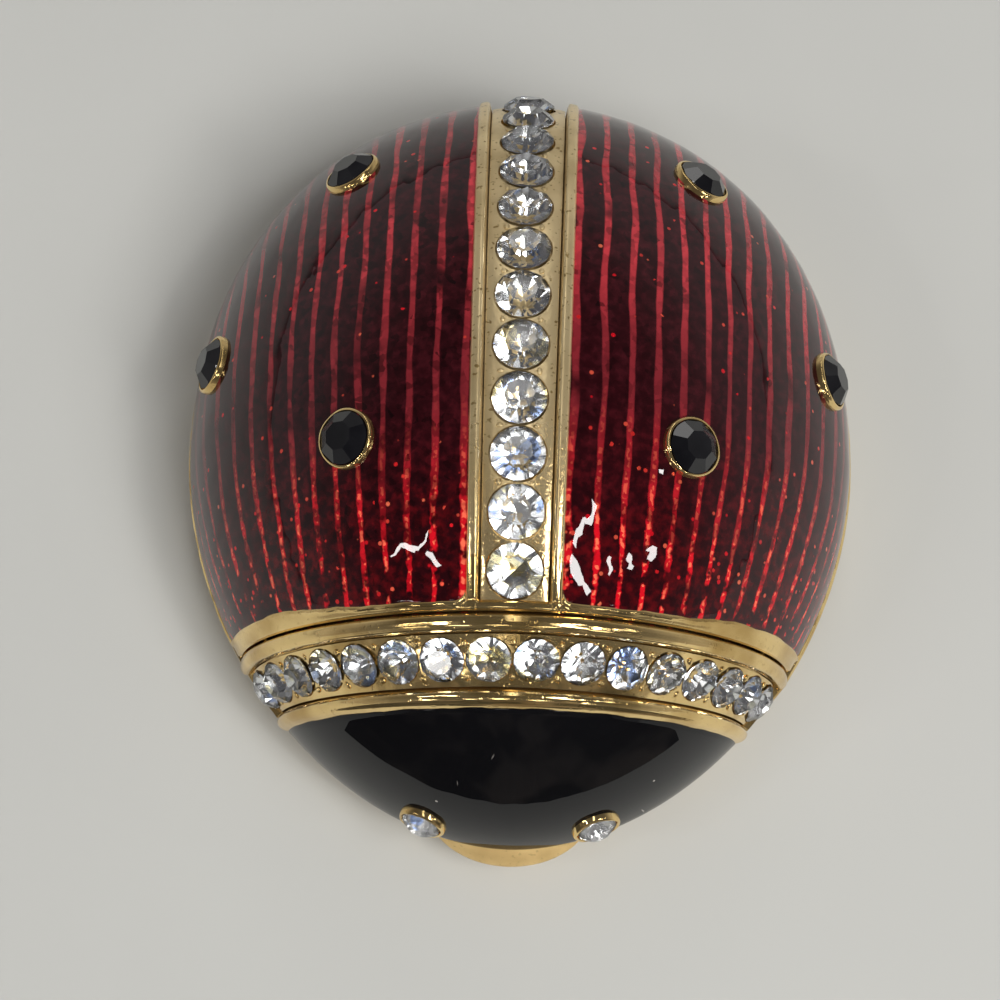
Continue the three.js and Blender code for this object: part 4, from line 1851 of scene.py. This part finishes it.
@dataclass
class Base:
    """The gilt pan and hollow head, with the jewelled band, the muzzle and the eye cups.

    Attributes:
        wall: Thickness of the head's casting, in mm.
        band: Width of the band at the crown, from the seam to the head arch.
        bead: Width of its bead beside the seam.
        front_bead: Width of its bead over the head arch.
        trench: How deep the casting lies under the bed.
        bed_depth: How deep the bed lies.
        muzzle_half: Half sizes of the muzzle.
        muzzle_proud: How far it stands past the head's tip.
        muzzle_drop: How far its middle is below the seam.
        lip_height: Height of the lid's lip over the seam.
        floor: Thickness of the pan's floor.
    """

    wall: float = 1.7
    band: float = 4.6
    bead: float = 0.95
    front_bead: float = 0.85
    trench: float = 0.95
    bed_depth: float = 0.30
    muzzle_half: tuple[float, float, float] = (5.4, 4.0, 1.9)
    muzzle_proud: float = 0.8
    muzzle_drop: float = 1.1
    lip_height: float = 1.2
    floor: float = 1.6

    def head_rows(self) -> tuple[np.ndarray, np.ndarray, np.ndarray]:
        """Planes of the rows over the head.

        Returns:
            Place, lean and share of the way over the band of each row.
        """
        band = spread((0.0, 1.3, 26), (1.3, 3.3, 8), (3.3, 5.4, 34)) / self.band
        nose = np.linspace(0.0, 1.0, 60)[1:]
        first = self.band * (band.max() - 1.0)
        left = EGG.front_reach + HEAD.y - first
        over = SEAM.y - self.band * band
        y = np.concatenate([over, HEAD.y - first - left * np.sin(nose * math.pi / 2)])
        lean = SEAM.lean + (HEAD.lean - SEAM.lean) * np.minimum(band, 1.0)
        lean = np.concatenate([lean, HEAD.lean * (1.0 - nose) ** 1.5])
        way = np.concatenate([band, np.full(len(nose), 2.0)])
        return y, lean, way

    def head_grid(self) -> tuple[np.ndarray, np.ndarray, np.ndarray]:
        """Draws the head from the seam to the nose.

        Returns:
            Points, each row's way over the band, and distances past the head arch.
        """
        y, lean, way = self.head_rows()
        angles = np.sin(np.linspace(0.06, math.pi / 2, 74)) ** 1.15 / 2.0
        angles = math.pi * np.concatenate([[0.0], angles])
        angles = np.concatenate([angles, math.pi - angles[-2::-1]])
        angles = np.clip(angles, 0.0, math.pi)
        rows = [EGG.row(a, b, angles) for a, b in zip(y[:-1], lean[:-1])]
        rows.append(np.tile([[0.0, -EGG.front_reach, EGG.seam_height]], (len(angles), 1)))
        points = np.array(rows)
        start = int(np.argmin(np.abs(way - 1.0)))
        steps = np.linalg.norm(np.diff(points, axis=0), axis=-1)
        reached = np.vstack([np.zeros((1, len(angles))), np.cumsum(steps, axis=0)])
        return points, way, reached - reached[start]

    def band_profile(self) -> np.ndarray:
        """Relief across the band.

        Returns:
            Pairs of the distance from the seam and the lift.
        """
        a, b, floor = self.bead, self.band - self.front_bead, -self.trench
        return np.array(
            [
                (0.0, -0.14),
                (0.05, -0.02),
                (0.14, 0.10),
                (0.3, 0.21),
                (0.5, 0.25),
                (0.7, 0.21),
                (a - 0.12, 0.08),
                (a, -0.18),
                (a + 0.04, floor),
                (b - 0.04, floor),
                (b, -0.2),
                (b + 0.08, 0.1),
                (b + 0.2, 0.2),
                (b + 0.4, 0.25),
                (b + 0.6, 0.2),
                (b + 0.78, 0.08),
                (self.band + 0.02, 0.0),
                (99.0, 0.0),
            ]
        )

    def band_lift(self, points: np.ndarray, way: np.ndarray, past: np.ndarray) -> np.ndarray:
        """Relief of the band, with its trench run out at both lower ends.

        Args:
            points: The head's points.
            way: Each row's way over the band.
            past: Distance past the head arch.

        Returns:
            The lift of each point.
        """
        across = np.minimum(way * self.band, self.band)[:, None] * np.ones(past.shape)
        across = np.where(past > 0, self.band + past, across)
        lift = np.interp(across, *self.band_profile().T)
        run_out = smooth((points[..., 2] - EGG.seam_height - 0.25) / 0.5)
        trench = (across > self.bead) & (across < self.band - self.front_bead)
        return np.where(trench, lift * run_out, lift)

    def build(self, finishes: Finishes, stones: Stones) -> None:
        """Builds and dresses the base and the head's enamel.

        Args:
            finishes: The finishes.
            stones: The stones, for their seats.
        """
        points, way, past = self.head_grid()
        edge = past - 0.03 - 0.05 * wobble(points[..., 0], 2.0, 4.0)
        well = 0.40
        lift = self.band_lift(points, way, past) - well * smooth(edge / 0.28)
        lift = hollow_under(points, lift, stones.band_seats(), StoneCutter(stones.band_size), stones.sink)
        eyes, eye_cut = list(stones.eye_seats().values()), StoneCutter(stones.eye_size)
        lift = hollow_under(points, lift + well, eyes, eye_cut, stones.stand) - well
        head = join_sheets([sheet_from("head_casting", points, lift)])
        thicken(head, self.wall)
        smooth_shade(head, 40.0)
        parts = [head, self._bed(stones), self._pan(), self._muzzle()]
        parts.append(prongs("band_prongs", stones.band_seats(), 1.08, 0.24))
        for k, (name, seat) in enumerate(stones.eye_seats().items()):
            parts.append(Cup(stones.eye_size / 2.0, wall=0.24).build(f"cup_{name}", seat, 2.1 * k + 1.0))
        for part in parts:
            dress(part, finishes.gold, finishes.satin, finishes.under)
        choose(*parts)
        bpy.ops.object.join()
        body = bpy.context.object
        body.name = "base_casting"
        seat_in_frame(body, "gilt_metal", "base")
        self._enamel(points, edge, past, finishes, stones)

    def _bed(self, stones: Stones) -> bpy.types.Object:
        """Builds the drilled bed under the stones of the band.

        Args:
            stones: The stones, for their seats.

        Returns:
            The bed.
        """
        share = np.linspace(self.bead + 0.08, self.band - self.front_bead - 0.08, 13) / self.band
        angles = np.linspace(0.03, math.pi - 0.03, 150)
        y, lean = SEAM.y + (HEAD.y - SEAM.y) * share, SEAM.lean + (HEAD.lean - SEAM.lean) * share
        points = np.array([EGG.row(a, b, angles) for a, b in zip(y, lean)])
        lift = np.full(points.shape[:2], -self.bed_depth)
        lift += 0.02 * wobble(points[..., 0] + points[..., 2], 1.0, 2.9)
        bed = join_sheets([sheet_from("band_bed", points, lift)])
        thicken(bed, 0.7, stand=1.0)
        drill(bed, stones.band_seats(), stones.band_size / 2.0 + 0.07)
        smooth_shade(bed, 32.0)
        return bed

    def _ring(self, height: float, count: int) -> np.ndarray:
        """The outline of the body at a height.

        Args:
            height: The height in mm.
            count: How many points round it.

        Returns:
            The points, from +X round by +Y.
        """
        turn = np.linspace(0.0, 2.0 * math.pi, count + 1)
        way = np.stack([np.cos(turn), np.sin(turn), np.zeros(count + 1)], -1)
        near, far = np.zeros(count + 1), np.full(count + 1, 40.0)
        for _ in range(46):
            middle = (near + far) / 2.0
            points = way * middle[:, None] + np.array([0.0, 0.0, height])
            outside = self._beyond(points) | (EGG.level(points) > 1.0)
            near, far = np.where(outside, near, middle), np.where(outside, middle, far)
        return way * near[:, None] + np.array([0.0, 0.0, height])

    def _beyond(self, points: np.ndarray) -> np.ndarray:
        """Which points lie past the nose or the tail."""
        return (points[:, 1] > EGG.rear_reach - 1e-4) | (points[:, 1] < -EGG.front_reach + 1e-4)

    def _pan(self) -> bpy.types.Object:
        """Builds the pan, a closed bowl with a flat underside and the lid's lip.

        Returns:
            The pan.
        """
        count = 220
        seam, lip, floor = EGG.seam_height, EGG.seam_height + self.lip_height, self.floor
        underside = [(0.0, 6.0), (0.0, 1.2), (0.0, 0.5), (0.05, 0.22), (0.16, 0.08), (0.34, 0.02)]
        side = [(z, 0.0) for z in (0.8, 1.6, 2.4, 3.1, 3.5)]
        rim = [(3.62, -0.04), (3.72, -0.12), (3.86, -0.18), (4.05, -0.2), (4.22, -0.18), (4.36, -0.1)]
        ledge = [(4.44, 0.0), (seam, 0.14), (seam, 0.7), (seam, 1.9)]
        lip_side = [(4.6, 1.95), (lip - 0.1, 1.97), (lip, 2.05), (lip, 2.65), (lip - 0.1, 2.75)]
        inside = [(4.0, 2.8), (2.6, 3.4), (1.8, 4.6), (floor, 6.5)]
        rows = [np.zeros((count + 1, 3))]
        for z, inset in underside + side + rim + ledge + lip_side + inside:
            ring = self._ring(min(z, seam), count)
            reach = np.hypot(ring[:, 0], ring[:, 1])
            behind = np.clip((ring[:, 1] - HEAD.y) / 4.0, 0.0, 1.0)
            shown = 0.2 + 0.8 * smooth((ring[:, 0] + 8.0) / 16.0)
            held = np.where(inset < 0, inset * behind * shown, inset) + 0.22 * (1.0 - behind)
            ring *= ((reach - held) / reach)[:, None]
            ring[:, 2] = z
            rows.append(ring)
        rows.append(np.tile([[0.0, 0.0, floor]], (count + 1, 1)))
        points = np.array(rows)
        pan = join_sheets([sheet_from("pan", points, np.zeros(points.shape[:2]))])
        pan.data.attributes.remove(pan.data.attributes["lift"])
        for face in pan.data.polygons:
            face.material_index = 2 if face.center.z < 0.1 * MM else 0
        smooth_shade(pan, 40.0)
        return pan

    def _muzzle(self) -> bpy.types.Object:
        """Builds the small gold muzzle under the enamel.

        Returns:
            The muzzle.
        """
        clear_choice()
        bpy.ops.mesh.primitive_uv_sphere_add(segments=64, ring_count=32, radius=1.0)
        muzzle = bpy.context.object
        muzzle.name = "muzzle"
        middle = self.muzzle_half[1] - self.muzzle_proud - EGG.front_reach
        points = read_points(muzzle) * np.array(self.muzzle_half)
        points += np.array([0.0, middle, EGG.seam_height - self.muzzle_drop])
        write_points(muzzle, points * MM)
        muzzle.data.polygons.foreach_set("material_index", np.full(len(muzzle.data.polygons), 2))
        smooth_shade(muzzle, 60.0)
        return muzzle

    def _enamel(
        self, points: np.ndarray, edge: np.ndarray, past: np.ndarray, finishes: Finishes, stones: Stones
    ) -> None:
        """Fills the head with black enamel.

        Args:
            points: The head's points.
            edge: Distance inside the enamel's rear edge.
            past: Distance past the head arch.
            finishes: The finishes.
            stones: The stones, for the seats of the eyes.
        """
        rows = past.max(axis=1) > -0.4
        points, edge = points[rows], edge[rows]
        low = points[..., 2] - EGG.seam_height
        depth = np.minimum(edge, low + 0.1)
        lift = 0.035 * smooth(depth / 0.4) - 0.55 * smooth(-depth / 0.22) - 0.02
        x, y = points[..., 0], points[..., 1]
        lift += smooth(depth / 1.5) * 0.010 * wobble(x + y, 1.0, 6.0)
        eyes, cutter = list(stones.eye_seats().values()), StoneCutter(stones.eye_size)
        lift = hollow_under(points, lift, eyes, cutter, stones.stand)
        fill = join_sheets([sheet_from("head_fill", points, lift)])
        thicken(fill, 0.35, stand=1.0)
        smooth_shade(fill, 60.0)
        dress(fill, finishes.black)
        seat_in_frame(fill, "black_enamel", "head_enamel")


def towards(azimuth: float, elevation: float) -> Vector:
    """Unit direction from the box.

    Args:
        azimuth: Degrees round the box, nought in front and 90 to the right.
        elevation: Degrees over the floor.

    Returns:
        The direction.
    """
    a, e = math.radians(azimuth), math.radians(elevation)
    return Vector((math.sin(a) * math.cos(e), -math.cos(a) * math.cos(e), math.sin(e)))


@dataclass(frozen=True)
class Lamp:
    """A soft lamp that faces the box.

    Attributes:
        name: Its name.
        azimuth: Direction round the box, nought in front and 90 to the right.
        elevation: Height over the floor in degrees.
        size: Width and height in metres.
        power: Power in watts.
        away: Distance in metres.
        seen: Whether glossy surfaces show it.
        colour: Colour of its light.
    """

    name: str
    azimuth: float
    elevation: float
    size: tuple[float, float]
    power: float
    away: float = 0.8
    seen: bool = True
    colour: tuple[float, float, float] = (1.0, 0.985, 0.96)

    def hang(self) -> None:
        """Hangs the lamp in its place."""
        data = bpy.data.lights.new(self.name, "AREA")
        data.shape = "RECTANGLE"
        data.size, data.size_y = self.size
        data.energy = self.power
        data.color = self.colour
        lamp = bpy.data.objects.new(self.name, data)
        bpy.context.scene.collection.objects.link(lamp)
        back = towards(self.azimuth, self.elevation)
        lamp.location = back * self.away + Vector((0.0, 0.0, 0.01))
        lamp.rotation_mode = "QUATERNION"
        lamp.rotation_quaternion = back.to_track_quat("Z", "Y")
        lamp.visible_glossy = self.seen
        lamp.visible_camera = False


LAMPS = (
    Lamp("window_right", 67.0, 59.5, (0.19, 0.032), 0.48),
    Lamp("sill_right", 46.5, 51.0, (0.045, 0.20), 0.70),
    Lamp("pane_right", 59.0, 45.0, (0.06, 0.025), 0.12),
    Lamp("pane_near", 66.0, 39.0, (0.030, 0.035), 0.08),
    Lamp("pane_far", 71.0, 34.5, (0.030, 0.035), 0.08),
    Lamp("pane_side", 95.0, 38.0, (0.020, 0.030), 0.05),
    Lamp("window_left", -67.0, 42.5, (0.018, 0.22), 0.32),
    Lamp("sill_left", -56.5, 48.5, (0.085, 0.030), 0.20),
    Lamp("glint_0", -9.0, 38.0, (0.10, 0.035), 0.14),
    Lamp("glint_1", -26.0, 30.0, (0.10, 0.035), 0.14),
    Lamp("glint_2", 17.0, 34.0, (0.10, 0.035), 0.14),
    Lamp("glint_3", -41.0, 21.0, (0.10, 0.035), 0.14),
    Lamp("glint_4", 36.0, 25.0, (0.10, 0.035), 0.14),
    Lamp("ceiling_0", 0.0, 84.0, (0.10, 0.40), 0.31, away=0.9),
    Lamp("ceiling_1", 0.0, 112.0, (0.10, 0.40), 0.31, away=0.9),
    Lamp("ceiling_2", 0.0, 140.0, (0.10, 0.40), 0.31, away=0.9),
    Lamp("soft_front", 38.0, 54.0, (0.5, 0.5), 8.1, away=1.0, seen=False),
)


@dataclass
class Studio:
    """Floor, lights and camera.

    Attributes:
        elevation: Height of the camera over the floor in degrees.
        azimuth: Its direction round the box.
        roll: Its turn about its own axis.
        target: What it looks at, in mm.
        distance: How far away it is.
        focal: Its focal length in pixels.
        frame: Width of the picture in pixels.
        card_heights: Heights up the dark card, in mm.
        card_halves: Its half width at each of them.
        card_front: How far in front of the box its foot stands, in mm.
        card_bend: How much its sides curve towards the box, for each square mm across.
        card_lean: How much it leans away from the box for each mm of height.
    """

    elevation: float = 69.53
    azimuth: float = 1.913
    roll: float = -0.268
    target: tuple[float, float, float] = (-1.138, -4.91, 12.5)
    distance: float = 200.96
    focal: float = 3145.0
    frame: float = 1000.0
    card_heights: tuple[float, ...] = (0.5, 6.0, 12.4, 17.0, 28.5)
    card_halves: tuple[float, ...] = (24.6, 24.8, 23.4, 19.5, 13.0)
    card_front: float = 43.0
    card_bend: float = 0.021
    card_lean: float = 0.12

    def camera(self) -> None:
        """Places the camera where the photograph was taken from."""
        data = bpy.data.cameras.new("camera")
        data.sensor_width = 36.0
        data.lens = self.focal / self.frame * 36.0
        data.clip_start, data.clip_end = 0.01, 10.0
        camera = bpy.data.objects.new("camera", data)
        bpy.context.scene.collection.objects.link(camera)
        a, r = math.radians(self.azimuth), math.radians(self.roll)
        back = towards(self.azimuth, self.elevation)
        right = Vector((math.cos(a), math.sin(a), 0.0))
        up = back.cross(right)
        side = right * math.cos(r) + up * math.sin(r)
        top = up * math.cos(r) - right * math.sin(r)
        turn = Matrix((side, top, back)).transposed().to_4x4()
        place_at = (Vector(self.target) + back * self.distance) * MM
        camera.matrix_world = Matrix.Translation(place_at) @ turn
        bpy.context.scene.camera = camera

    def room(self) -> None:
        """Lights the room: pale low down, dark overhead."""
        world = bpy.data.worlds.new("room")
        world.use_nodes = True
        bpy.context.scene.world = world
        wiring = Wiring(world.node_tree)
        _, back, up = wiring.parts(wiring.place("Generated"))
        tilted = wiring.math("MINIMUM", wiring.times(back, 0.18), wiring.times(back, 0.33))
        low = wiring.ramp(wiring.math("SUBTRACT", up, tilted), 0.88, 0.03)
        height = wiring.math("POWER", low, 2.1)
        colour = wiring.blend(height, rgb(0.058, 0.056, 0.060), rgb(0.38, 0.37, 0.365))
        light = wiring.add("ShaderNodeBackground")
        wiring.feed(light, Color=colour, Strength=1.0)
        output = wiring.add("ShaderNodeOutputWorld")
        world.node_tree.links.new(light.outputs[0], output.inputs[0])

    def ground(self) -> None:
        """Lays the plain pale floor."""
        clear_choice()
        bpy.ops.mesh.primitive_plane_add(size=3.0, location=(0.0, 0.0, 0.0))
        floor = bpy.context.object
        floor.name = "floor"
        made, wiring, shader = new_material("pale floor")
        cloud = wiring.noise(wiring.place(), 18.0, 3.0)
        colour = wiring.blend(cloud, rgb(0.487, 0.492, 0.474), rgb(0.545, 0.550, 0.528))
        wiring.feed(shader, Base_Color=colour, Roughness=0.55)
        dress(floor, made)

    def flag(self) -> None:
        """Stands a dark card in front, which only reflections show."""
        clear_choice()
        bpy.ops.mesh.primitive_grid_add(x_subdivisions=32, y_subdivisions=30, size=2.0)
        card = bpy.context.object
        card.name = "dark_card"
        flat = read_points(card)
        across, up = flat[:, 0], (flat[:, 1] + 1.0) / 2.0
        bottom, top, foot_half = self.card_heights[0], self.card_heights[-1], self.card_halves[0]
        z = bottom + (top - bottom) * up
        x = across * np.interp(z, self.card_heights, self.card_halves)
        y = -self.card_front + self.card_bend * (across * foot_half) ** 2 - self.card_lean * z
        write_points(card, np.stack([x, y, z], -1) * MM)
        made, wiring, shader = new_material("dark card")
        patch = wiring.ramp(wiring.noise(wiring.place(), 75.0), 0.45, 0.65)
        colour = wiring.blend(patch, rgb(0.06, 0.06, 0.065), rgb(0.46, 0.40, 0.37))
        wiring.feed(shader, Base_Color=colour, Roughness=0.9)
        dress(card, made)
        card.visible_camera = False
        card.visible_diffuse = False
        card.visible_shadow = False
        card.visible_transmission = False

    def build(self) -> None:
        """Sets up the whole studio."""
        self.ground()
        self.room()
        for lamp in LAMPS:
            lamp.hang()
        self.flag()
        self.camera()
        bpy.context.scene.view_settings.view_transform = "Standard"


def main() -> None:
    """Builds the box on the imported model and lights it."""
    logging.basicConfig(level=logging.INFO, format="%(message)s")
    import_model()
    clear_choice()
    finishes = Finishes()
    stones = Stones()
    Lid().build(finishes, stones)
    Base().build(finishes, stones)
    stones.build(finishes)
    Studio().build()


if __name__ == "__main__":
    main()
